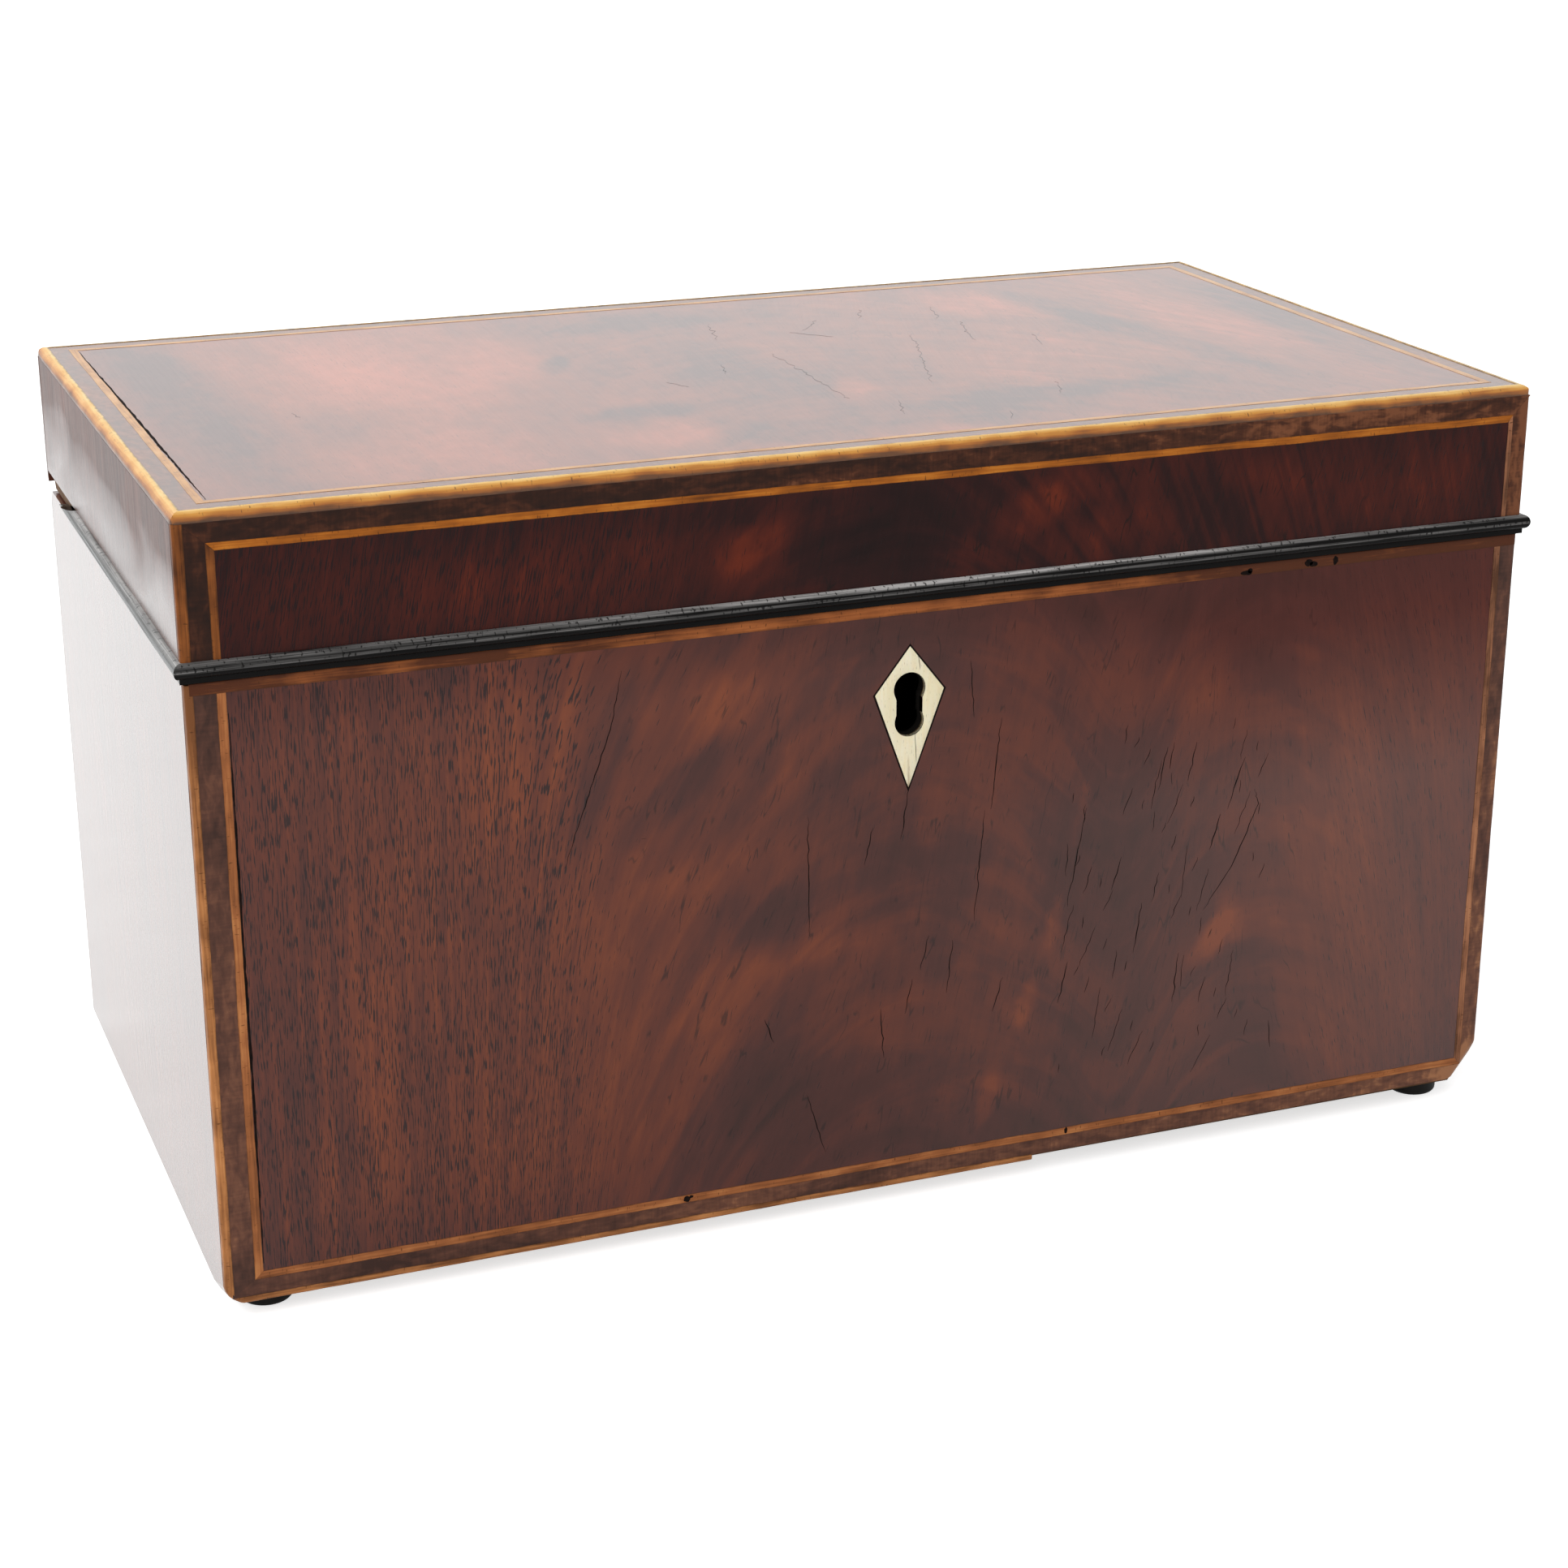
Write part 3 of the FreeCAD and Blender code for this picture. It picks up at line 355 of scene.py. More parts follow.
def bone(name, along=None):
    """Bone, sawn or turned, and scraped smooth: warm cream, faintly streaked, brown where grime has settled,
    and painted near black deep in a keyhole as shade."""
    material, tree, shader = new_finish(
        name, specular_ior_level=0.45, subsurface_weight=0.08, subsurface_scale=0.001)
    grain = Grain(tree, along)
    streaks = grain.pattern(6, 0.5, 3)
    stains = grain.pattern(5, 3.5, 4, shift=3.0)
    flecks = grain.pattern(0.9, 0.14, 1, shift=6.0)
    # The third number: grime, and painted shade deep in a keyhole
    grime = grain.parts()[2]
    base = grain.weigh(grain.weigh(-0.2, streaks, 0.6), stains, 0.6)
    colour = grain.colours(base, ((0.15, "#fbf3da"), (0.5, "#f7e9c2"), (0.9, "#dcc78f")))
    settled = grain.weigh(grain.weigh(-0.35, stains, 0.7), grime, 1.0)
    colour = grain.tint(colour, "#86673a", grain.between(settled, 0.3, 0.9, 0.0, 0.85))
    # Near black: painted shade deep in the keyhole
    colour = grain.tint(colour, "#17100a", grain.between(settled, 0.85, 1.1, 0.0, 0.97))
    colour = grain.tint(colour, "#7c6a45", grain.between(flecks, 0.66, 0.74, 0.0, 0.5))
    rough = grain.between(stains, 0.2, 0.8, 0.3, 0.5)
    grain.feed(shader, base_color=colour, roughness=rough, normal=grain.relief(streaks, 0.02, 0.4))
    return material


def black_wax(name, **sockets):
    """Old wax and dirt in cracks and joints: almost black, matt unless it lies under polish."""
    material, tree, shader = new_finish(name, roughness=0.9, **sockets)
    grain = Grain(tree, "x")
    crumbs = grain.pattern(0.6, 0.6, 3)
    grain.feed(shader, base_color=grain.colours(crumbs, ((0.35, "#0b0706"), (0.7, "#1e120e"))))
    return material


def carcass(name, along, stops, keyhole=None):
    """Softwood under the veneers, planed and left bare: dry, brown with age, plain grain. Round a keyhole it
    is painted black, the shade seen in the keyhole."""
    material, tree, shader = new_finish(name, specular_ior_level=0.2)
    grain = Grain(tree, along)
    rings = grain.pattern(90, 2.6, 3, 0.4)
    fibres = grain.pattern(9, 0.35, 2)
    dirt = grain.pattern(30, 22, 4, shift=4.0)
    darkness = grain.weigh(grain.weigh(-0.35, rings, 0.8), fibres, 0.4)
    darkness = grain.weigh(darkness, dirt, 0.6)
    colour = grain.colours(darkness, stops)
    if keyhole:
        away = add(tree, "ShaderNodeVectorMath", {0: grain.place, 1: keyhole},
                   operation="DISTANCE").outputs["Value"]
        # Painted shade inside the keyhole
        colour = grain.tint(colour, KEYHOLE_SHADE, grain.between(away, 12 * MM, 9 * MM))
    rough = grain.between(fibres, 0.2, 0.8, 0.6, 0.8)
    grain.feed(shader, base_color=colour, roughness=rough, normal=grain.relief(fibres, 0.06, 0.6))
    return material


def metal(name, stops, metallic, rough, grit, shaded_below=None):
    """A worked metal gone dull with age: brown and grey bloom over the bright ground, fine scratches. Below a
    given height it is painted black, the shade seen through the keyhole."""
    material, tree, shader = new_finish(name, metallic=metallic)
    grain = Grain(tree, "x")
    bloom = grain.pattern(7, 6, 4, 0.5)
    scratches = grain.pattern(6, 0.12, 2, shift=3.0)
    pits = grain.pattern(grit, grit, 3, shift=6.0)
    darkness = grain.weigh(grain.weigh(-0.3, bloom, 1.1), pits, 0.5)
    colour = grain.colours(darkness, stops)
    if shaded_below:
        height = grain.parts()[2]
        # Painted shade below the given height
        colour = grain.tint(colour, KEYHOLE_SHADE, grain.between(height, shaded_below, shaded_below - 4 * MM))
    dulled = grain.between(bloom, 0.25, 0.75, *rough)
    height = grain.weigh(pits, scratches, 0.4)
    grain.feed(shader, base_color=colour, roughness=dulled, normal=grain.relief(height, 0.05, 0.5))
    return material


FLAME = ((0.05, "#803f23"), (0.32, "#653122"), (0.6, "#4c2721"), (0.95, "#331d19"))
LID_FLAME = ((0.05, "#6a2815"), (0.35, "#461a13"), (0.65, "#2a1110"), (0.95, "#190b0b"))
TOP_FLAME = ((0.05, "#c8694a"), (0.35, "#955038"), (0.65, "#5c3833"), (0.95, "#3f2a28"))
PLAIN = ((0.05, "#8a4524"), (0.35, "#69321b"), (0.6, "#512616"), (0.9, "#341810"))
INNER = ((0.1, "#8a5030"), (0.45, "#6d3c26"), (0.9, "#4c2a1c"))
BARE = ((0.1, "#80603f"), (0.5, "#62462d"), (0.95, "#3d2b1d"))

# The front leaf, with its painted reflection and painted shade
flame_mahogany = mahogany("flame_mahogany_polished", FLAME, figured=True, pores=0.9, painted_haze_and_shade=0.13,
                          specular_ior_level=0.12, coat_weight=0.38, coat_roughness=0.16)
lid_mahogany = mahogany("flame_mahogany_dark_polished", LID_FLAME, figured=True, pores=0.9, clouded=0.2,
                        streaky=0.35, specular_ior_level=0.08, coat_weight=0.08, coat_roughness=0.12)
top_mahogany = mahogany("flame_mahogany_bright_polished", TOP_FLAME, figured=True, pores=0.4, fibrous=0.04,
                        streaky=0.1, relief=0.012, specular_ior_level=0.5, coat_weight=1.0,
                        coat_roughness=0.2)
side_mahogany = mahogany("plain_mahogany_polished", PLAIN, along="z", tone=0.5, relief=0.012,
                         specular_ior_level=0.45, coat_weight=1.0, coat_roughness=0.12)
lid_side_mahogany = mahogany("plain_mahogany_lid_polished", PLAIN, along="z", tone=0.6, worn_polish=0.85,
                             specular_ior_level=0.1, coat_roughness=0.2)
inner_long = mahogany("lining_mahogany_long", INNER, along="x", specular_ior_level=0.3)
inner_deep = mahogany("lining_mahogany_deep", INNER, along="y", specular_ior_level=0.3)
# The lid's top arris: pale stops and its foot mask paint a highlight on the rounding
yellow_boxwood = boxwood("boxwood_painted_highlight", (
    (0.4, "#ffe0a0"), (0.55, "#f8c976"), (0.74, "#d8953c"), (0.88, "#ac6623"), (1.0, "#643c1d")),
    0.7, gloss=0.45, specular=0.25, highlight_and_dirty_foot=0.55, mottled=0.4)
orange_boxwood = boxwood("boxwood_polished_orange", (
    (0.15, "#d0822e"), (0.45, "#ab611e"), (0.8, "#6e3c16")), 0.6)
amber_boxwood = boxwood("boxwood_polished_amber", (
    (0.15, "#c98650"), (0.45, "#a4643a"), (0.8, "#6b4026")), 0.6)
# The front edging: darker toward the top of its upright length, where dirt and painted shade meet under the
# bead's corner, and a little darker low down
edge_boxwood = boxwood("boxwood_polished_brown", (
    (0.15, "#dc9d62"), (0.45, "#bd7d4a"), (0.8, "#7c4d2c")),
    0.6, dulled=((62, 92, 0.24), (90, 100, 0.2), (40, 5, 0.1)))
corner_boxwood = boxwood("boxwood_polished_deep", (
    (0.15, "#a86a35"), (0.45, "#8a4f24"), (0.8, "#4e2a14")), 0.7, dulled=((108, 122, 0.15),))
# The rim edging under the bead, in darker stops as painted shade of the bead; darker toward its left end,
# where dirt and painted shade meet under the bead's corner, and over part of its right
rim_boxwood_shaded = boxwood("boxwood_in_painted_shade", (
    (0.15, "#b86d3a"), (0.45, "#9c592e"), (0.85, "#552d1a")),
    0.3, dulled=((-15, -65, 0.3), (-92, -106, 0.2), (34, 66, 0.5)))
dull_boxwood = boxwood("boxwood_polished_tan", (
    (0.15, "#c68b62"), (0.45, "#a87050"), (0.8, "#5b3a28")), 0.7, dulled=((50, 95, 0.16),))
top_boxwood = boxwood("boxwood_polished_bright", (
    (0.15, "#eeb264"), (0.45, "#d99846"), (0.8, "#a0652a")), 0.4, gloss=0.8, specular=0.3)
dark_banding = crossbanding("crossbanding_dark", (
    (0.22, "#7a4a30"), (0.38, "#4c2a1b"), (0.55, "#321b12"), (0.8, "#1d110d")), 0.1, 0.05)
brown_banding = crossbanding("crossbanding_brown", (
    (0.2, "#a5714e"), (0.38, "#754c39"), (0.56, "#5a392d"), (0.8, "#3c261f")), 0.12, 0.1)
top_banding = crossbanding("crossbanding_polished", (
    (0.25, "#a8745a"), (0.42, "#8a5a46"), (0.6, "#6e4839"), (0.85, "#4a3028")), 0.5, 1.0)
# The beads: their pale upper edge and mid nose are a painted highlight and sheen over wear
ebony_black = ebonised("ebonised_wood_painted_sheen", 0.07)
side_black = ebonised("ebonised_wood_polished_painted_sheen", 0.5)
foot_black = black_button()
cream_bone = bone("bone_scraped")
cream_knob = bone("bone_turned", "z")
dark_wax = black_wax("old_wax_in_cracks", specular_ior_level=0.1)
polished_wax = black_wax(
    "old_wax_under_polish", specular_ior_level=0.5, coat_weight=1.0, coat_roughness=0.2)
board_long = carcass("carcass_wood_long", "x", BARE)
board_deep = carcass("carcass_wood_deep", "y", BARE)
# The front board, painted black round the keyhole as shade
board_keyhole_shaded = carcass("carcass_wood_keyhole_shade", "x", BARE, sum(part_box("escutcheon"), Vector()) / 2)
AGED_BRASS = ((0.1, "#d2a95c"), (0.45, "#a9823f"), (0.9, "#5f4722"))
aged_brass = metal("brass_aged", AGED_BRASS, 1.0, (0.24, 0.46), 0.5)
# The lock, painted black below its top as the shade seen through the keyhole
lock_brass_shaded = metal(
    "brass_aged_keyhole_shade", AGED_BRASS, 1.0, (0.24, 0.46), 0.5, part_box("lock_case")[1].z - MM)
dull_iron = metal("iron_screw_dull", (
    (0.1, "#8d8a86"), (0.5, "#5d5751"), (0.9, "#33291f")), 1.0, (0.3, 0.55), 0.3)
sheet_lead = metal("tea_lead_sheet", (
    (0.1, "#a3a6a8"), (0.5, "#7d8083"), (0.9, "#565a5e")), 0.85, (0.42, 0.62), 2.5)


# Mesh helpers

def everything(bm):
    return bm.verts[:] + bm.edges[:] + bm.faces[:]


def stock(low, high):
    """A squared length of stock between two corners."""
    bm = bmesh.new()
    sizes = Matrix.Diagonal((*(high - low), 1))
    bmesh.ops.create_cube(bm, size=1, matrix=Matrix.Translation((low + high) / 2) @ sizes)
    return bm


def saw(bm, point, facing):
    """Saw off what lies beyond a plane, and close the cut."""
    bmesh.ops.bisect_plane(bm, geom=everything(bm), plane_co=point, plane_no=facing, clear_outer=True)
    bmesh.ops.holes_fill(bm, edges=[edge for edge in bm.edges if edge.is_boundary])


def thicken(bm, faces, by):
    """Draw faces out into a solid."""
    made = bmesh.ops.extrude_face_region(bm, geom=faces)["geom"]
    bmesh.ops.translate(bm, vec=by, verts=[part for part in made if isinstance(part, bmesh.types.BMVert)])


def cross_cut(bm, axis, step):
    """Divide a length across, so that wear can bend it."""
    long_edges = []
    longest = 0.0
    for edge in bm.edges:
        span = abs(edge.verts[0].co[axis] - edge.verts[1].co[axis])
        if span > 0.9 * edge.calc_length() and span > step:
            long_edges.append(edge)
            longest = max(longest, span)
    cuts = round(longest / step) - 1
    if cuts > 0:
        bmesh.ops.subdivide_edges(bm, edges=long_edges, cuts=cuts, use_grid_fill=True)


def round_edges(bm, edges, radius, segments=4):
    bmesh.ops.bevel(bm, geom=edges, offset=radius, offset_type="OFFSET", segments=segments,
                    profile=0.5, affect="EDGES", material=-1)


def edges_at(bm, corner):
    """The edges that lie out in the given directions, such as (0, -1, 1) for the upper front."""
    low = Vector(min(vert.co[axis] for vert in bm.verts) for axis in range(3))
    high = Vector(max(vert.co[axis] for vert in bm.verts) for axis in range(3))

    def lies_out(vert):
        return all(
            sign == 0 or abs(vert.co[axis] - (high if sign > 0 else low)[axis]) < TOUCHING
            for axis, sign in enumerate(corner)
        )

    return [edge for edge in bm.edges if all(lies_out(vert) for vert in edge.verts)]


def ease(low, high, value):
    """0 at low, 1 at high, and a smooth step between; low may be the larger."""
    share = min(1.0, max(0.0, (value - low) / (high - low)))
    return share * share * (3 - 2 * share)


def sway(place, wavelength, seed):
    """Slow hand-made unevenness, from about -1 to 1."""
    return noise.noise(Vector((place / wavelength, seed, seed * 0.37)))


def join(bm, part):
    """Add a finished part to a larger mesh."""
    mesh = bpy.data.meshes.new("part")
    part.to_mesh(mesh)
    part.free()
    bm.from_mesh(mesh)
    bpy.data.meshes.remove(mesh)


def piece(bm, name, body, finishes, stands_for=()):
    """Make a finished mesh a piece of the caddy: on its body, for its CAD nodes."""
    bmesh.ops.remove_doubles(bm, verts=bm.verts, dist=PIECE_WELD)
    bmesh.ops.recalc_face_normals(bm, faces=bm.faces)
    mesh = bpy.data.meshes.new(name)
    bm.to_mesh(mesh)
    bm.free()
    for finish in finishes:
        mesh.materials.append(finish)
    mesh.shade_smooth()
    mesh.set_sharp_from_angle(angle=SMOOTH_BELOW)
    made = bpy.data.objects.new(name, mesh)
    scene.collection.objects.link(made)
    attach(made, body)
    if stands_for:
        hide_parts(*stands_for)
    return made


def lay_grain(bm, along, across):
    """Record the fibres of a straight piece: metres along, metres across, and the share across."""
    layer = bm.verts.layers.float_vector.new("grain")
    low = min(vert.co[across] for vert in bm.verts)
    high = max(vert.co[across] for vert in bm.verts)
    for vert in bm.verts:
        share = (vert.co[across] - low) / (high - low)
        vert[layer] = Vector((vert.co[along], vert.co[across] + 0.31 * vert.co[3 - along - across], share))


# Inlaid lines: mitred strips along the sides of a face

SIDES = {
    "left": (0, -1, ("bottom", "top")),
    "right": (0, 1, ("bottom", "top")),
    "bottom": (1, -1, ("left", "right")),
    "top": (1, 1, ("left", "right")),
}
FRONT_FACE = (0, 2)
TOP_FACE = (0, 1)
WEAR_STEP = 1.6 * MM


def strip(low, high, face, side, widths, run, arrises, unevenness):
    """One mitred strip, with its outer arrises rounded and its edges uneven."""
    which, sign, neighbours = SIDES[side]
    facing, along = face[which], face[1 - which]
    strip_low, strip_high = low.copy(), high.copy()
    if sign < 0:
        strip_high[facing] = low[facing] + widths[side]
    else:
        strip_low[facing] = high[facing] - widths[side]
    if run:
        strip_low[along], strip_high[along] = run
    bm = stock(strip_low, strip_high)
    for corner, radius in arrises:
        round_edges(bm, edges_at(bm, corner), radius)
    for end, neighbour in zip((-1, 1), neighbours):
        corner = Vector()
        corner[facing] = (low, high)[sign > 0][facing]
        corner[along] = (low, high)[end > 0][along]
        reaches_corner = abs((strip_low, strip_high)[end > 0][along] - corner[along]) < 0.01 * MM
        if neighbour in widths and reaches_corner:
            mitre = Vector()
            mitre[facing] = -sign * widths[neighbour]
            mitre[along] = end * widths[side]
            saw(bm, corner, mitre)
    cross_cut(bm, along, WEAR_STEP)
    lay_grain(bm, along, facing)
    layer = bm.verts.layers.float_vector["grain"]
    side_axis = 3 - facing - along
    outer_side = (low if side_axis == 1 else high)[side_axis]
    outer_edge = (low if sign < 0 else high)[facing]
    for vert in bm.verts:
        share = vert[layer].z
        # On a rounded arris the share runs from the lower front edge to the inner top edge; its finish paints
        # a highlight and a dark foot from it
        if arrises:
            inward = abs(vert.co[facing] - outer_edge) / widths[side]
            behind = abs(vert.co[side_axis] - outer_side) / (high - low)[side_axis]
            vert[layer].z = 0.5 + 0.5 * (inward - behind)
        wander = sway(vert.co[along], 11 * MM, 3.1 * share + 7 * which + 2 * sign)
        wander += 0.4 * sway(vert.co[along], 2.7 * MM, 5.3 * share + which)
        outer = share if sign > 0 else 1 - share
        if arrises and outer > 0.5:
            wander = -sign * abs(wander)
        vert.co[facing] += unevenness * wander
    return bm


def inlaid_line(low, high, face, widths, lost=None, arrises=None, unevenness=0.1 * MM, only=None):
    """The strips of one line, all its sides or only some; lost gives the runs missing from a side."""
    bm = bmesh.new()
    for side in only or widths:
        which, _, _ = SIDES[side]
        along = face[1 - which]
        ends = [low[along]]
        for gap in (lost or {}).get(side, ()):
            ends += gap
        ends.append(high[along])
        for start, end in zip(ends[::2], ends[1::2]):
            if end - start > 0.1 * MM:
                run = (start, end)
                rounded_at = (arrises or {}).get(side, ())
                join(bm, strip(low, high, face, side, widths, run, rounded_at, unevenness))
    return bm


# Places shared by the pieces, from the frame
front_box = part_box("front_edging")
lid_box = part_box("lid_edging")
right_corner = Vector((front_box[1].x, front_box[0].y, front_box[0].z))
left_corner = Vector((front_box[0].x, front_box[0].y - EDGING_PROUD, front_box[0].z))


def grown(box, low_by=(0, 0, 0), high_by=(0, 0, 0)):
    """A box with its low and high corners moved out."""
    return box[0] - Vector(low_by), box[1] + Vector(high_by)


def wear_corner(bm, corner, facing, depth):
    """Take a worn lower corner off a front piece, and ease the edges of the cut."""
    point = corner - facing * depth
    saw(bm, point, facing)
    sideways = Vector((math.copysign(1, facing.x), 0, 0))
    for face_way in (sideways, Vector((0, -1, 0)), Vector((0, 0, -1))):
        for share in (0.35, 0.65):
            way = facing.lerp(face_way, share)
            on_edge = (1 - share) * facing.dot(point) + share * face_way.dot(corner)
            eased = on_edge / way.length - CORNER_EASED
            saw(bm, way.normalized() * eased, way.normalized())


def handle(bm, worn):
    """Record how much hands have rubbed each point of a band."""
    layer = bm.verts.layers.float_vector["grain"]
    for vert in bm.verts:
        vert[layer].z = worn(vert.co)


def ease_upright(bm, corner, radius):
    """Round an upright outer corner in plan; corner is its place and the way out on x and y."""
    x, y, out_x, out_y = corner
    for turn_ in (22.5, 45, 67.5):
        way = Vector((out_x * math.cos(math.radians(turn_)), out_y * math.sin(math.radians(turn_)), 0))
        saw(bm, Vector((x - out_x * radius, y - out_y * radius, 0)) + way * radius, way)


# Box front: edging, banding and stringing
LOST_BASE = [(24.6 * MM, front_box[1].x)]
line = inlaid_line(
    *grown(front_box, (0, EDGING_PROUD, 0)), FRONT_FACE,
    {"left": LEFT_EDGING, "bottom": BASE_EDGING},
    lost={"bottom": LOST_BASE},
    arrises={"left": [((-1, -1, 0), 0.45 * MM)], "bottom": [((0, -1, -1), 0.45 * MM)]},
    unevenness=0.12 * MM,
)
wear_corner(line, left_corner, LEFT_WEAR_FACING, LEFT_WEAR)
piece(line, "front_edging_strips", "box", [edge_boxwood], ["front_edging"])

RIM_EDGING = 1.85 * MM
rim_box = grown(front_box, (UNDERLAP - LEFT_EDGING, 0, 0), (0, 0, RIM_EDGING - EDGING))
line = inlaid_line(
    *grown(rim_box, (0, RIM_PROUD, 0)), FRONT_FACE, {"top": RIM_EDGING},
    arrises={"top": [((0, -1, 1), 0.15 * MM)]},
    unevenness=0.05 * MM,
)
ease_upright(line, (front_box[1].x, front_box[0].y - RIM_PROUD, 1, -1), 0.6 * MM)
piece(line, "front_rim_edging_strip", "box", [rim_boxwood_shaded])

line = inlaid_line(
    *grown(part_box("front_banding"), (UNDERLAP, 0, UNDERLAP), (0, 0, UNDERLAP)), FRONT_FACE,
    {"left": BANDING + 2 * UNDERLAP, "bottom": BASE_BANDING + 2 * UNDERLAP, "right": BANDING + UNDERLAP},
    arrises={"right": [((1, -1, 0), 0.55 * MM)]},
    unevenness=0.05 * MM,
)
wear_corner(line, right_corner, RIGHT_WEAR_FACING, RIGHT_WEAR)
handle(line, lambda place: (
    1.1 * ease(12 * MM, 3 * MM, (place - right_corner).length)
    + 0.2 * ease(-1.2 * MM, 0, place.x - front_box[1].x)
    + 0.25 * ease(60 * MM, 30 * MM, place.z) * ease(20 * MM, 80 * MM, place.x)
    - 0.35 * ease(60 * MM, 85 * MM, place.z)
    - 0.4 * ease(-40 * MM, -95 * MM, place.x) * ease(14 * MM, 9 * MM, place.z)))
piece(line, "front_banding_strips", "box", [brown_banding], ["front_banding"])

string_box = grown(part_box("front_stringing"), (0, STRING_PROUD, 0), (0, 0, UNDERLAP))
widths = {"left": STRINGING, "bottom": STRINGING, "right": 0.9 * STRINGING}
line = inlaid_line(*string_box, FRONT_FACE, widths, only=("left", "bottom"))
piece(line, "front_string_lines", "box", [amber_boxwood], ["front_stringing"])
line = inlaid_line(*string_box, FRONT_FACE, widths, only=("right",))
piece(line, "front_right_string_line", "box", [dull_boxwood])

# Lid: edging round the top and up the left corner, banding and stringing
ARRIS = 1.35 * MM
arris_box = Vector((lid_box[0].x, lid_box[0].y, lid_box[1].z - EDGING)), lid_box[1]
line = inlaid_line(
    *arris_box, TOP_FACE, {"left": EDGING, "right": EDGING, "bottom": EDGING, "top": EDGING},
    arrises={
        "left": [((-1, 0, 1), ARRIS)],
        "right": [((1, 0, 1), ARRIS)],
        "bottom": [((0, -1, 1), ARRIS)],
        "top": [((0, 1, 1), ARRIS)],
    },
    unevenness=0.06 * MM,
)
for out_x in (-1, 1):
    for out_y in (-1, 1):
        place = lid_box[0 if out_x < 0 else 1].x, lid_box[0 if out_y < 0 else 1].y
        ease_upright(line, (*place, out_x, out_y), 0.9 * MM)
piece(line, "lid_top_edging_strips", "lid", [yellow_boxwood], ["lid_edging"])

corner_box = lid_box[0], Vector((lid_box[0].x + EDGING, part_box("lid_front_banding")[1].y, arris_box[0].z))
line = inlaid_line(
    *grown(corner_box, (0, EDGING_PROUD, 0)), FRONT_FACE, {"left": EDGING},
    arrises={"left": [((-1, -1, 0), 0.5 * MM)]},
)
piece(line, "lid_corner_edging_strip", "lid", [corner_boxwood])

line = inlaid_line(
    *grown(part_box("lid_front_banding"), (UNDERLAP, 0, 0)), FRONT_FACE,
    {"left": BANDING + 2 * UNDERLAP, "top": BANDING + UNDERLAP, "right": BANDING + UNDERLAP},
    arrises={"right": [((1, -1, 0), 0.55 * MM)]},
    unevenness=0.05 * MM,
)
handle(line, lambda place: (
    0.2 * ease(-1.2 * MM, 0, place.x - lid_box[1].x) + 0.6 * ease(0, 70 * MM, place.x)))
piece(line, "lid_front_banding_strips", "lid", [dark_banding], ["lid_front_banding"])

string_box = grown(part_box("lid_front_stringing"), (0, STRING_PROUD, 0))
widths = {"left": 0.95 * STRINGING, "top": 0.9 * STRINGING, "right": 0.65 * STRINGING}
line = inlaid_line(*string_box, FRONT_FACE, widths, only=("top",))
piece(line, "lid_front_top_string_line", "lid", [orange_boxwood], ["lid_front_stringing"])
for side, finish in (("left", corner_boxwood), ("right", dull_boxwood)):
    line = inlaid_line(*string_box, FRONT_FACE, widths, only=(side,))
    piece(line, f"lid_front_{side}_string_line", "lid", [finish])

sunk = STRING_PROUD + EDGING_PROUD
line = inlaid_line(
    *grown(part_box("lid_top_banding"), (UNDERLAP, UNDERLAP, 0), (UNDERLAP, UNDERLAP, -sunk)), TOP_FACE,
    {side: BANDING + 2 * UNDERLAP for side in SIDES},
    unevenness=0.05 * MM,
)
handle(line, lambda place: 0.0)
piece(line, "lid_top_banding_strips", "lid", [top_banding], ["lid_top_banding"])

line = inlaid_line(
    *grown(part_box("lid_top_stringing"), high_by=(0, 0, -EDGING_PROUD)), TOP_FACE,
    {side: STRINGING for side in SIDES},
)
piece(line, "lid_top_string_lines", "lid", [top_boxwood], ["lid_top_stringing"])


# Veneer leaves: thin sheets whose points carry their fibres and figure

FIGURE_STEP = 1.3 * MM
# How far from an opening's corners a leaf is cut for it
HOLE_REACH = 16 * MM
# Clouds narrower than this, in millimetres, have crisp edges
CRISP_CLOUD = 7


def leaf(box, face, hole=()):
    """A sheet of veneer, divided finely enough to carry its figure; hole lists an opening's corners."""
    low, high = box
    across, up = face
    bm = bmesh.new()
    counts = [max(2, round((high[axis] - low[axis]) / FIGURE_STEP)) for axis in face]
    bmesh.ops.create_grid(bm, x_segments=counts[0], y_segments=counts[1], size=0.5)
    side = 3 - across - up
    outer = low if side == 1 else high
    thickness = Vector()
    thickness[side] = (high[side] - low[side]) * (1 if side == 1 else -1)
    for vert in bm.verts:
        share = vert.co.x + 0.5, vert.co.y + 0.5
        vert.co[side] = outer[side]
        for axis, part in zip(face, share):
            vert.co[axis] = low[axis] + (high[axis] - low[axis]) * part
    hole_sides = list(zip(hole, [*hole[1:], *hole[:1]]))
    for start, end in hole_sides:
        edge = end - start
        facing = Vector((edge.z, 0, -edge.x))
        near = [face_ for face_ in bm.faces if abs(face_.calc_center_median().x - start.x) < HOLE_REACH]
        geometry = list(dict.fromkeys(part for face_ in near for part in (*face_.verts, *face_.edges))) + near
        bmesh.ops.bisect_plane(bm, geom=geometry, plane_co=start, plane_no=facing)
    if hole:
        inside = [
            face_ for face_ in bm.faces
            if all(
                (end - start).cross(face_.calc_center_median() - start).y > 0
                for start, end in hole_sides
            )
        ]
        bmesh.ops.delete(bm, geom=inside, context="FACES")
    thicken(bm, bm.faces[:], thickness)
    return bm


def between_points(points, place):
    """A value read off a list of (place, value) points."""
    for (start, first), (end, last) in zip(points, points[1:]):
        if place <= end:
            return first + (last - first) * ease(start, end, place)
    return points[-1][1]


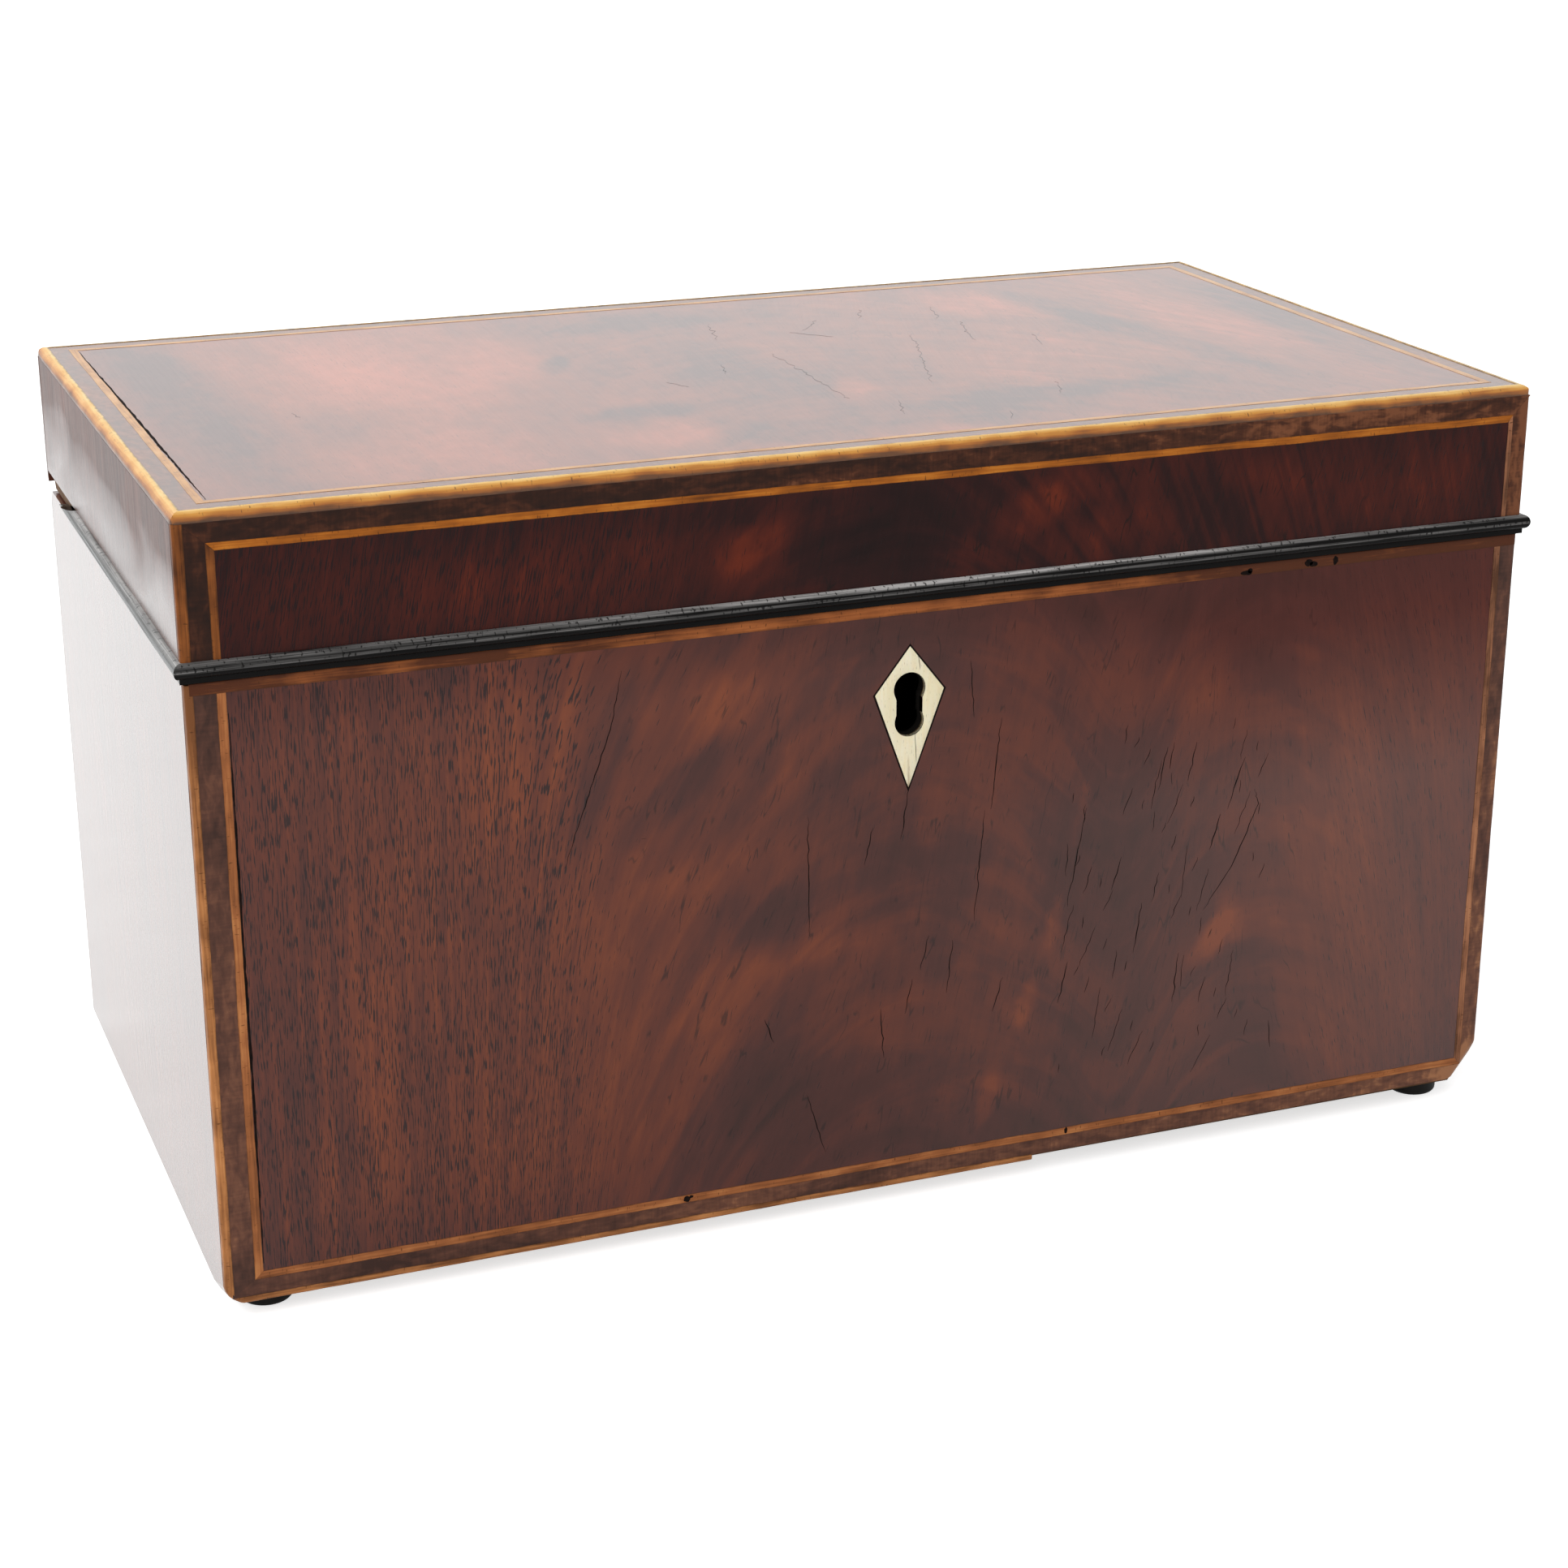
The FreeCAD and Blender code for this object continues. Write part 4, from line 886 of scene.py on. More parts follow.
def clouding(clouds, across, up):
    """How much darker (or, below zero, lighter) a list of soft clouds makes a place."""
    ragged = noise.noise_vector(Vector((across / 7, up / 9, 2.7)))
    total = 0.0
    for middle, height, wide, tall, lean, amount in clouds:
        rise = up + 2.2 * ragged.y - height
        offset = across + 1.6 * ragged.x - middle - lean * rise
        crisp = 3.0 if wide < CRISP_CLOUD else 1.5
        total += amount * math.exp(-((offset / wide) ** 2 + (rise / tall) ** 2) ** crisp)
    return total


def carry_figure(bm, face, figure):
    """Give every point of a leaf its fibres and its figure."""
    grain = bm.verts.layers.float_vector.new("grain")
    tones = bm.verts.layers.float_vector.new("figure")
    for vert in bm.verts:
        along, across, arch, tone, feather, pores = figure(vert.co[face[0]] / MM, vert.co[face[1]] / MM)
        vert[grain] = Vector((along, across, arch)) * MM
        vert[tones] = Vector((tone, feather, pores))


# Front leaf: straight grain on the left, a crotch that feathers up and out from the middle
FRONT_LEAN = ((-104, 0.0), (-72, 0.02), (-30, 0.36), (5, 0.18), (40, 0.2), (82, -0.24), (106, -0.1))
FRONT_TONES = ((-104, 0.44), (-82, 0.34), (-56, 0.28), (-42, 0.34), (-20, 0.42), (40, 0.5),
               (66, 0.42), (84, 0.34), (106, 0.4))
FRONT_CLOUDS = (
    # across, up, half-width, half-height, lean, darker or lighter
    (-48, 84, 3.5, 15, 0.33, 0.26), (-37, 76, 4, 9, 1.05, 0.24), (-28, 90, 9, 6, 0.2, -0.24),
    (-16, 82, 1.2, 14, 0.7, -0.14), (-33, 62, 10, 5, 1.2, -0.16), (-21, 53, 7, 6, 0.3, 0.26),
    (-12, 47, 8, 3, 1.5, -0.2), (-30, 42, 6, 7, 0.9, -0.16), (-25, 22, 9, 12, 0.6, 0.32),
    (-6, 20, 16, 9, 0.0, 0.2), (0, 34, 12, 5, 0.0, -0.08), (14, 12, 20, 6, 0.0, 0.16),
    (0, 92, 9, 8, 0.3, 0.18), (6, 68, 3, 7, 0.2, -0.14), (40, 54, 19, 18, 0.1, 0.14),
    (40, 24, 18, 12, 0.0, 0.12), (64, 24, 8, 13, -0.2, 0.24), (3, 58, 12, 14, 0.1, 0.14),
    (64, 96, 18, 11, 0.0, 0.26), (88, 90, 14, 14, 0.0, 0.22), (56, 38, 3.2, 5, 0.5, -0.42),
    (60, 42, 2.5, 6, -0.3, -0.2), (23, 32, 1.5, 5, 0.25, -0.34), (27.4, 46, 1.3, 5, 0.25, -0.3),
    (31.7, 63, 1.3, 6, 0.3, -0.2), (16.7, 16.4, 1.5, 6, 0.2, -0.28), (44, 82, 14, 6, 0.0, -0.16),
    (58, 88, 7, 6, -0.5, 0.12), (42, 96, 12, 4, 0.4, 0.12), (74, 58, 7.5, 28, -0.42, -0.07),
    (66, 76, 9, 10, -0.4, 0.1),
    (92, 66, 4, 26, -0.1, 0.1), (-92, 40, 7, 30, 0.0, 0.06), (-90, 40, 20, 26, 0.0, -0.08),
    (-60, 76, 4, 14, 0.1, 0.08), (-10, 72, 7, 8, 0.3, 0.12), (-64, 84, 8, 16, 0.0, -0.1),
)


def front_figure(across, up):
    """Where a place lies along and across its fibres and in the arches; its tone, feather and pores."""
    lean = between_points(FRONT_LEAN, across)
    fibre = across - lean * (up - 52)
    middle = up + 0.02 * (across - 3) ** 2
    right = up + 0.03 * (across - 66) ** 2
    arch = middle + (right - middle) * ease(30, 52, across)
    tone = between_points(FRONT_TONES, across) + clouding(FRONT_CLOUDS, across, up)
    # Darker along the top, painted shade under the lid's bead; darker too toward the bottom and the right
    # edge
    tone += 0.12 * ease(17, 8, up) + 0.03 * ease(94, 105, across) + 0.15 * ease(89, 100, up)
    feather = 0.6 * ease(-54, -38, across) * (1 - 0.6 * ease(70, 84, across))
    pores = 1 - 0.97 * ease(-58, -42, across) + 0.4 * ease(70, 84, across)
    return up, fibre, arch, tone, feather, pores


# Lid front: the same leaf carried up, darker under its polish
LID_FRONT_CLOUDS = (
    (-84, 112, 16, 7, 0.0, -0.14), (-48, 112, 18, 7, 0.4, -0.16), (-25, 113, 6, 5, 0.9, -0.3),
    (-24, 108.5, 7.5, 3, 0.8, -0.16), (-66, 111, 12, 7, 0.0, -0.12), (-3, 112, 13, 9, 0.2, 0.2),
    (21, 114, 6, 5, 0.5, -0.26),
    (36, 110, 7.5, 4, 0.7, -0.16), (30, 117, 6, 2.5, 0.4, -0.16), (51, 113, 7, 8, -0.3, 0.14),
    (64, 116, 7, 4, -0.5, -0.2), (84, 112, 14, 7, 0.0, -0.2), (96, 115, 4, 5, 0.0, -0.1),
    (-34, 119, 10, 2.5, 0.0, 0.12), (-68, 119, 9, 3, 0.0, 0.1),
)


def lid_front_figure(across, up):
    tone = 0.56 + clouding(LID_FRONT_CLOUDS, across, up)
    pores = 1.0 - 0.9 * ease(-46, -24, across) + 0.4 * ease(60, 84, across)
    feather = 0.25 + 0.5 * ease(-46, -24, across) * (1 - 0.6 * ease(60, 84, across))
    return up, across - 0.2 * (up - 110), up + 0.02 * (across + 6) ** 2, tone, feather, pores


# Lid top: grain from front to back, pale clouds each side of a dark crotch
TOP_CLOUDS = (
    (-62, 20, 20, 40, 0.0, -0.3), (-66, -38, 20, 16, 0.0, -0.2), (-32, -42, 9, 8, 0.3, -0.24),
    (-40, 16, 8, 22, 0.25, -0.16), (-95, 10, 7, 60, 0.0, 0.22), (-29, -24, 10, 5, 0.3, 0.28),
    (-32, 14, 3, 8, 0.35, 0.22), (-10, 42, 20, 9, 0.0, 0.2), (-4, -6, 16, 20, 0.1, 0.14),
    (-14, -44, 10, 8, 0.0, 0.16), (8, -20, 4, 8, 0.2, -0.2), (20, -42, 12, 8, 0.0, 0.14),
    (8, 6, 5, 12, 0.0, -0.08), (46, -8, 16, 22, 0.2, -0.14), (54, 36, 9, 14, -0.2, -0.24),
    (38, -34, 26, 5, 0.0, 0.2), (70, 8, 5, 40, -0.2, 0.2), (86, 10, 9, 44, -0.1, -0.24),
    (100, 0, 5, 60, 0.0, 0.12), (0, -57, 64, 7, 0.0, -0.12),
)


def top_figure(across, up):
    tone = 0.46 + clouding(TOP_CLOUDS, across, up)
    lean = between_points(((-104, 0.0), (-50, 0.05), (0, 0.1), (40, 0.3), (104, 0.0)), across)
    feather = 0.3 * ease(-40, -20, across)
    pores = 0.3 * (1 - ease(-60, -30, across))
    return up, across - lean * up, up + 0.012 * (across - 4) ** 2, tone, feather, pores


# Escutcheon: a kite of bone with a keyhole, let into the front leaf
bone_low, bone_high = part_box("escutcheon")
bone_middle = (bone_low.x + bone_high.x) / 2
SHOULDER = 87.6 * MM
BONE_PROUD = 0.1 * MM


def kite(inset):
    """Corners of the kite, clockwise seen from the front, all moved in by an inset."""
    return [
        Vector((bone_middle, bone_low.y, bone_high.z - 1.2 * inset)),
        Vector((bone_high.x - inset, bone_low.y, SHOULDER)),
        Vector((bone_middle, bone_low.y, bone_low.z + 2.0 * inset)),
        Vector((bone_low.x + inset, bone_low.y, SHOULDER)),
    ]


leaf_box = grown(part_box("front_veneer"), (UNDERLAP, 0, UNDERLAP), (UNDERLAP, 0, UNDERLAP))
front_leaf = leaf(leaf_box, FRONT_FACE, kite(0.5 * MM))
carry_figure(front_leaf, FRONT_FACE, front_figure)
piece(front_leaf, "front_leaf", "box", [flame_mahogany], ["front_veneer"])

leaf_box = grown(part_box("lid_front_veneer"), (UNDERLAP, 0, 0), (UNDERLAP, 0, UNDERLAP))
lid_front_leaf = leaf(leaf_box, FRONT_FACE)
carry_figure(lid_front_leaf, FRONT_FACE, lid_front_figure)
piece(lid_front_leaf, "lid_front_leaf", "lid", [lid_mahogany], ["lid_front_veneer"])

leaf_box = grown(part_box("lid_top_veneer"), (UNDERLAP, UNDERLAP, 0), (UNDERLAP, UNDERLAP, -sunk))
lid_top_leaf = leaf(leaf_box, TOP_FACE)
carry_figure(lid_top_leaf, TOP_FACE, top_figure)
piece(lid_top_leaf, "lid_top_leaf", "lid", [top_mahogany], ["lid_top_veneer"])

KEYHOLE_POINTS = 64
EYE_HEIGHT, EYE_RADIUS = 88.1 * MM, 2.6 * MM
KEY_FOOT_HEIGHT, KEY_FOOT_RADIUS = 82.8 * MM, 2.4 * MM
KEYHOLE_WAIST = 4.3 * MM / 2


def keyhole_point(turn):
    """A point on the keyhole's outline: a round eye above, a round foot below, a waist between."""
    middle = (EYE_HEIGHT + KEY_FOOT_HEIGHT) / 2
    reach = (EYE_HEIGHT - KEY_FOOT_HEIGHT) / 2
    radius = EYE_RADIUS if math.sin(turn) > 0 else KEY_FOOT_RADIUS
    height = middle + (reach + radius) * math.sin(turn)
    centre = EYE_HEIGHT if math.sin(turn) > 0 else KEY_FOOT_HEIGHT
    off = abs(height - centre)
    round_half = math.sqrt(max(0.0, radius ** 2 - off ** 2))
    toward_waist = abs(height - middle) < reach
    half = max(round_half, KEYHOLE_WAIST) if toward_waist else round_half
    return Vector((bone_middle + math.copysign(half, math.cos(turn)), bone_low.y, height))


def escutcheon(inset, proud, edge):
    """A kite with a keyhole through it, standing proud of the front, its edges rounded."""
    bm = bmesh.new()
    bmesh.ops.create_circle(bm, segments=KEYHOLE_POINTS, radius=1)
    outline = bm.verts[:]
    bmesh.ops.create_circle(bm, segments=KEYHOLE_POINTS, radius=2)
    hole = bm.verts[KEYHOLE_POINTS:]
    corners = kite(inset)
    quarter = KEYHOLE_POINTS // 4
    for ring, place in ((outline, "kite"), (hole, "hole")):
        ordered = sorted(ring, key=lambda vert: math.atan2(vert.co.y, vert.co.x) % math.tau)
        for number, vert in enumerate(ordered):
            turn = math.pi / 2 - math.tau * number / KEYHOLE_POINTS
            start = corners[number // quarter]
            end = corners[(number // quarter + 1) % 4]
            on_kite = start.lerp(end, number % quarter / quarter)
            vert.co = on_kite if place == "kite" else keyhole_point(turn)
    bmesh.ops.bridge_loops(bm, edges=bm.edges[:])
    bmesh.ops.translate(bm, vec=(0, -proud, 0), verts=bm.verts)
    thicken(bm, bm.faces[:], Vector((0, bone_high.y - bone_low.y + proud, 0)))
    bmesh.ops.recalc_face_normals(bm, faces=bm.faces)
    rim = [
        line_ for line_ in bm.edges
        if all(abs(vert.co.y - bone_low.y + proud) < TOUCHING for vert in line_.verts)
        and line_.calc_face_angle(0) > 1
    ]
    round_edges(bm, rim, edge, 2)
    layer = bm.verts.layers.float_vector.new("grain")
    for vert in bm.verts:
        low_end = 1 - ease(0, 1.9 * MM, vert.co.z - bone_low.z)
        in_hole = 1 - ease(2.4 * MM, 3.2 * MM, abs(vert.co.x - bone_middle))
        # Grime at the low tip and a little round the keyhole; painted shade deep in the keyhole and on the
        # sides set into the leaf
        deep = ease(0.15 * MM, 0.5 * MM, vert.co.y - bone_low.y + proud)
        vert[layer] = Vector((vert.co.z, vert.co.x, 0.75 * low_end + 1.2 * deep + 0.12 * in_hole))
    return bm


piece(escutcheon(0, BONE_PROUD, 0.16 * MM), "kite_escutcheon", "box", [cream_bone], ["escutcheon"])
wax_line = escutcheon(-0.3 * MM, 0.03 * MM, 0.01 * MM)
piece(wax_line, "escutcheon_wax_line", "box", [dark_wax])


# Shrinkage checks: fine cracks along the fibres, filled with old wax
FRONT_CHECKS = (
    ((-45.1, 96.4), (-46.9, 87.8), (-51.1, 76.4), (-54.7, 66.4)), ((1.4, 71.8), (0.3, 63.5)),
    ((11.7, 91.4), (12.4, 82.1)), ((17.1, 81.4), (15.7, 66.4)), ((14.6, 66.4), (13.1, 47.8)),
    ((-15.4, 69.3), (-15.1, 49.3)), ((5.3, 46.4), (3.9, 40.7)), ((2.4, 39.3), (1.4, 33.5)),
    ((-2.9, 35), (-2.3, 26.4)), ((-15.4, 22.1), (-12.3, 11.4)), ((-22.6, 36.4), (-21.1, 32.1)),
    ((18.4, 37.1), (16.7, 31.4)), ((32.4, 64.3), (29.6, 47.8)),
    ((63.1, 63.5), (63.9, 60.7), (59.6, 50.7), (54.6, 43.5)), ((46.7, 72.8), (45.3, 65.7)),
    ((61, 69.3), (58.1, 60.7)), ((43.1, 46.4), (42, 37.8)), ((50.3, 36.4), (49.6, 27.8)),
    ((68.1, 21.4), (68.6, 16.4)), ((-42.4, 69.5), (-41.8, 69.4)), ((48.0, 73.5), (47.2, 69.0)),
    ((52.0, 73.0), (50.6, 66.5)), ((-4.5, 66.0), (-6.0, 60.0)), ((9.5, 45.0), (8.6, 36.0)),
    ((30.0, 38.0), (28.5, 31.0)), ((39.0, 55.0), (37.6, 49.5)), ((57.0, 60.0), (55.2, 54.0)),
)
TOP_CHECKS = (
    ((4.6, 8.8), (4.5, -8), (3.9, -26.9)), ((33.1, 15.3), (27.5, -2), (21, -21.2)),
    ((45.3, 21.7), (41, 6)), ((3.1, 36), (0.3, 23.1)), ((-19, -5.5), (-16.9, -9.7)),
    ((14, 24), (19.5, 18)), ((46, 36), (43, 26)), ((-80.6, -5), (-80, -8)), ((22, 32), (17, 25)),
    ((33, 38), (30, 31)), ((11, -31), (8, -40)), ((24, -44), (22.5, -49)), ((-6, 4), (-8, -3)),
    ((53, 8), (50.5, -1)), ((40, -28), (37, -36)),
)
CHECK_WIDTH = 0.2 * MM
CHECK_DEPTH = 0.15 * MM


def checks(lines, face, outer, seed, width=CHECK_WIDTH, wander=0.28 * MM):
    """Thin wandering wedges of wax, one for each line of points in millimetres."""
    side = 3 - face[0] - face[1]
    bm = bmesh.new()
    for number, points in enumerate(lines):
        part = bmesh.new()
        length = sum((Vector(end) - Vector(start)).length for start, end in zip(points, points[1:]))
        steps = max(4, round(length / 0.9))
        bmesh.ops.create_grid(part, x_segments=steps, y_segments=1, size=0.5)
        for vert in part.verts:
            share, edge = vert.co.x + 0.5, vert.co.y
            reach = share * (len(points) - 1)
            start = min(int(reach), len(points) - 2)
            place = Vector(points[start]).lerp(Vector(points[start + 1]), reach - start) * MM
            place.x += wander * sway(share * length, 1.5, seed + number)
            slim = math.sin(math.pi * min(0.985, max(0.015, share))) ** 0.6
            slim *= 0.75 + 0.5 * sway(share * length, 2.2, seed + number + 40)
            place.x += edge * width * max(0.15, slim)
            vert.co[face[0]], vert.co[face[1]], vert.co[side] = place.x, place.y, outer
        depth = Vector()
        depth[side] = CHECK_DEPTH if side == 1 else -CHECK_DEPTH
        thicken(part, part.faces[:], depth)
        join(bm, part)
    return bm


SKIN = 0.02 * MM
front_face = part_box("front_veneer")[0].y
top_face = lid_box[1].z - sunk
cracks = checks(FRONT_CHECKS, FRONT_FACE, front_face - SKIN, 3)
piece(cracks, "front_shrinkage_checks", "box", [dark_wax])
# Fine checks on the right of the front, scattered evenly by steps that never repeat
fine = []
for number in range(64):
    across, up = 29 + 37 * (number * 0.618 % 1), 20 + 58 * (number * 0.7549 % 1)
    length = 1.6 + 7.5 * (number * 0.318 % 1) ** 3
    lean = 0.02 + 0.5 * (number * 0.4142 % 1)
    fine.append(((across, up), (across - lean * length, up - length)))
cracks = checks(fine, FRONT_FACE, front_face - SKIN, 51, 0.13 * MM, 0.4 * MM)
piece(cracks, "front_fine_checks", "box", [dark_wax])
bone_crack = [((bone_middle / MM + 1.0, 80.9), (bone_middle / MM + 1.15, 78), (bone_middle / MM + 1.3, 75.8)),
              ((bone_middle / MM + 1.4, 93.2), (bone_middle / MM + 1.7, 91.0))]
cracks = checks(bone_crack, FRONT_FACE, bone_low.y - BONE_PROUD - SKIN, 63, 0.1 * MM, 0.1 * MM)
piece(cracks, "escutcheon_cracks", "box", [dark_wax])
cracks = checks(TOP_CHECKS, TOP_FACE, top_face + SKIN, 17, 0.12 * MM, 0.8 * MM)
piece(cracks, "lid_top_shrinkage_checks", "lid", [polished_wax])

left_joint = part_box("front_veneer")[0].x / MM
gap = [((left_joint + 0.15, 9.5), (left_joint + 0.25, 40), (left_joint + 0.15, 70), (left_joint + 0.2, 97))]
open_joint = checks(gap, FRONT_FACE, front_face - SKIN, 29, 0.55 * MM, 0.08 * MM)
piece(open_joint, "front_open_joint", "box", [dark_wax])
gap = [((-103.7, -52.4), (-103.8, -20), (-103.9, 20), (-104.0, 53))]
open_joint = checks(gap, TOP_FACE, top_face + SKIN, 31, 0.6 * MM, 0.1 * MM)
piece(open_joint, "lid_top_open_joint", "lid", [dark_wax])


# Chips lost from the inlaid lines: across, up, width and height in millimetres
RIM_CHIPS = ((59.4, 100.5, 2.2, 0.8), (60.1, 100.8, 0.8, 0.9), (70.7, 101.0, 1.5, 1.2),
             (71.6, 100.7, 1.4, 0.9), (75.65, 100.9, 0.95, 1.5))
STRING_CHIPS = ((-35.9, 7.5, 1.2, 1.0), (-35.2, 7.8, 0.7, 0.5), (30.7, 7.6, 0.6, 1.1))


def chips(places, outer, seed):
    """Flat uneven patches of old wax, where chips of a line are lost."""
    bm = bmesh.new()
    for number, (across, up, wide, tall) in enumerate(places):
        part = bmesh.new()
        bmesh.ops.create_circle(part, cap_ends=True, segments=14, radius=0.5)
        for vert in part.verts:
            x, z = vert.co.x, vert.co.y
            ragged = 1 + 0.35 * sway(math.atan2(z, x), 0.7, seed + number)
            vert.co = Vector((across + x * wide * ragged, 0, up + z * tall * ragged)) * MM
            vert.co.y = outer
        thicken(part, part.faces[:], Vector((0, CHECK_DEPTH, 0)))
        join(bm, part)
    return bm


lost = chips(RIM_CHIPS, front_box[0].y - RIM_PROUD - SKIN, 71)
join(lost, chips(STRING_CHIPS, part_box("front_stringing")[0].y - STRING_PROUD - SKIN, 83))
piece(lost, "front_line_chips", "box", [dark_wax])


# Ebonised bead on the lid's lower edge
BEAD_FILLET = 0.8 * MM
BEAD_SET_IN = 0.9 * MM
BEAD_RADIUS = 1.12 * MM
# Along the front: how pale the upper edge is, rubbed wear with a painted highlight, and how low on the nose
# that starts
BEAD_SHEEN_AND_WEAR = ((-111, 0.4), (-62, 0.36), (-35, 0.75), (0, 1.3), (40, 1.1), (72, 0.6), (111, 0.5))
BEAD_PALE_FROM = ((-111, -0.2), (-52, 0.05), (-24, 0.35), (111, 0.5))
bead_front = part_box("front_moulding")
bead_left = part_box("left_moulding")
bead_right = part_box("right_moulding")


def bead(box, along, outward):
    """A half-round bead over a set-in fillet."""
    low, high = box
    axis, sign = outward
    bm = stock(Vector((low.x, low.y, low.z + BEAD_FILLET)), high)
    line, facing = Vector(), Vector()
    line[axis] = low[axis] + BEAD_SET_IN if sign < 0 else high[axis] - BEAD_SET_IN
    facing[axis] = sign
    bmesh.ops.bisect_plane(bm, geom=everything(bm), plane_co=line, plane_no=facing)
    under = [
        face for face in bm.faces
        if face.normal.z < -0.9 and (face.calc_center_median()[axis] - line[axis]) * sign < 0
    ]
    thicken(bm, under, Vector((0, 0, -BEAD_FILLET)))
    outer = (low if sign < 0 else high)[axis]
    nose = [
        edge for edge in bm.edges
        if all(abs(vert.co[axis] - outer) < TOUCHING for vert in edge.verts)
        and abs(edge.verts[0].co[along] - edge.verts[1].co[along]) > MM
    ]
    round_edges(bm, nose, BEAD_RADIUS, 5)
    return bm


def weather_bead(bm, along, outward, middle):
    """Nick a bead, and record its fibres and how pale it is: rubbed wear with a painted highlight along its
    upper edge, and a painted sheen along the middle of its nose.
    """
    axis, sign = outward
    cross_cut(bm, along, 1.2 * MM)
    layer = bm.verts.layers.float_vector.new("grain")
    outer = (max if sign > 0 else min)(vert.co[axis] for vert in bm.verts)
    for vert in bm.verts:
        height = (vert.co.z - middle) / BEAD_RADIUS
        place = vert.co[along] / MM if axis == 1 else -30
        worn = between_points(BEAD_SHEEN_AND_WEAR, place) * ease(between_points(BEAD_PALE_FROM, place), 0.95, height)
        # Painted sheen along the middle of the nose
        worn += 0.4 * (1 - ease(0.0, 0.3, abs(height + 0.1)))
        vert[layer] = Vector((vert.co[along], vert.co.z + 0.5 * vert.co[axis], worn))
        if abs(vert.co[axis] - outer) < 1.2 * MM:
            nick = max(0.0, sway(vert.co[along], 2.3 * MM, 3 + sign) - 0.25)
            nick *= 1 + 1.6 * ease(-70, -100, place)
            slow = 0.5 + 0.5 * sway(vert.co[along], 24 * MM, 9 + sign)
            vert.co[axis] -= sign * (0.12 * slow + 0.5 * nick * worn) * MM
            vert.co.z -= (0.3 * nick * worn) * MM


bead_middle = bead_front[1].z - BEAD_RADIUS
front_bead = bead(bead_front, 0, (1, -1))
saw(front_bead, bead_front[0], Vector((-1, 1, 0)))
saw(front_bead, Vector((bead_front[1].x, bead_front[0].y, 0)), Vector((1, 1, 0)))
weather_bead(front_bead, 0, (1, -1), bead_middle)
piece(front_bead, "front_bead", "lid", [ebony_black], ["front_moulding"])

SLANT_FOOT = 47.1 * MM
SLANT_HEAD = 30.1 * MM
for name, box, sign in (("left", bead_left, -1), ("right", bead_right, 1)):
    side_bead = bead(box, 1, (0, sign))
    corner = Vector((bead_front[0].x if sign < 0 else bead_front[1].x, bead_front[0].y, 0))
    saw(side_bead, corner, Vector((-sign, -1, 0)))
    rise = bead_front[1].z - bead_front[0].z
    saw(side_bead, Vector((0, SLANT_FOOT, bead_front[0].z)), Vector((0, rise, SLANT_FOOT - SLANT_HEAD)))
    weather_bead(side_bead, 1, (0, sign), bead_middle)
    piece(side_bead, f"{name}_bead", "lid", [side_black], [f"{name}_moulding"])


# Turned button feet
def turn(profile, centre):
    """Spin a profile of (radius, height) points about an upright axis."""
    bm = bmesh.new()
    points = [bm.verts.new((centre.x + radius, centre.y, height)) for radius, height in profile]
    edges = [bm.edges.new(pair) for pair in zip(points, points[1:])]
    bmesh.ops.spin(bm, geom=points + edges, cent=centre, axis=(0, 0, 1), dvec=(0, 0, 0),
                   angle=math.tau, steps=48, use_merge=True)
    return bm


def rounded(centre, radius, start, end, steps=5):
    """Points of an arc about a centre, from one turn to another in degrees."""
    turns = [math.radians(start + (end - start) * number / steps) for number in range(steps + 1)]
    return [(centre[0] + radius * math.cos(turn_), centre[1] + radius * math.sin(turn_)) for turn_ in turns]


for place in ("front_left", "front_right", "back_left", "back_right"):
    low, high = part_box(f"foot_{place}")
    centre = (low + high) / 2
    radius = (high.x - low.x) / 2
    soft, crisp = 0.7 * MM, 0.3 * MM
    profile = [(0, low.z), *rounded((radius - soft, low.z + soft), soft, -90, 0)]
    profile += [*rounded((radius - crisp, high.z - crisp), crisp, 0, 90, 3), (0, high.z)]
    piece(turn(profile, centre), f"button_{place}", "box", [foot_black], [f"foot_{place}"])


# Side leaf and front board behind the worn lower left corner
def worn_copy(node):
    """A piece of the node's own shape that has lost the worn corner, flat faced as the node is."""
    bm = bmesh.new()
    bm.from_mesh(nodes[node].data)
    bmesh.ops.remove_doubles(bm, verts=bm.verts, dist=NODE_WELD)
    wear_corner(bm, left_corner, LEFT_WEAR_FACING, LEFT_WEAR)
    made = piece(bm, f"worn_{node}", "box", [], [node])
    made.data.shade_flat()
    return made


worn_copies = {
    "left_veneer": worn_copy("left_veneer"),
    "front_board": worn_copy("front_board"),
}


# CAD nodes that stay, and worn copies: soft arrises and their own finish
def dress(names, finish, arris=0.25 * MM):
    for name in names:
        shown = worn_copies.get(name, nodes[name])
        shown.data.materials.clear()
        shown.data.materials.append(finish)
        weld = shown.modifiers.new("merge_corners", "WELD")
        weld.merge_threshold = NODE_WELD
        soften = shown.modifiers.new("soft_arris", "BEVEL")
        soften.width = arris
        soften.segments = 2
        soften.limit_method = "ANGLE"
        soften.angle_limit = SOFTEN_ABOVE


dress(["left_veneer", "right_veneer", "back_veneer"], side_mahogany, 0.4 * MM)
dress(["lid_left_veneer", "lid_right_veneer", "lid_back_veneer"], lid_side_mahogany, 0.3 * MM)
dress(["front_board"], board_keyhole_shaded)
dress(["back_board", "lid_front_rail", "lid_back_rail", "lid_top_board", "floor_board"], board_long)
dress(["left_board", "right_board", "lid_left_rail", "lid_right_rail"], board_deep)
dress(["lid_lining", "inner_lid_left", "inner_lid_right", "front_liner", "back_liner"],
      inner_long, 0.4 * MM)
dress(["left_liner", "right_liner", "divider"], inner_deep, 0.4 * MM)
dress(["left_tea_lead", "right_tea_lead"], sheet_lead, 0.2 * MM)
dress(["knob_left", "knob_right"], cream_knob, 0.3 * MM)
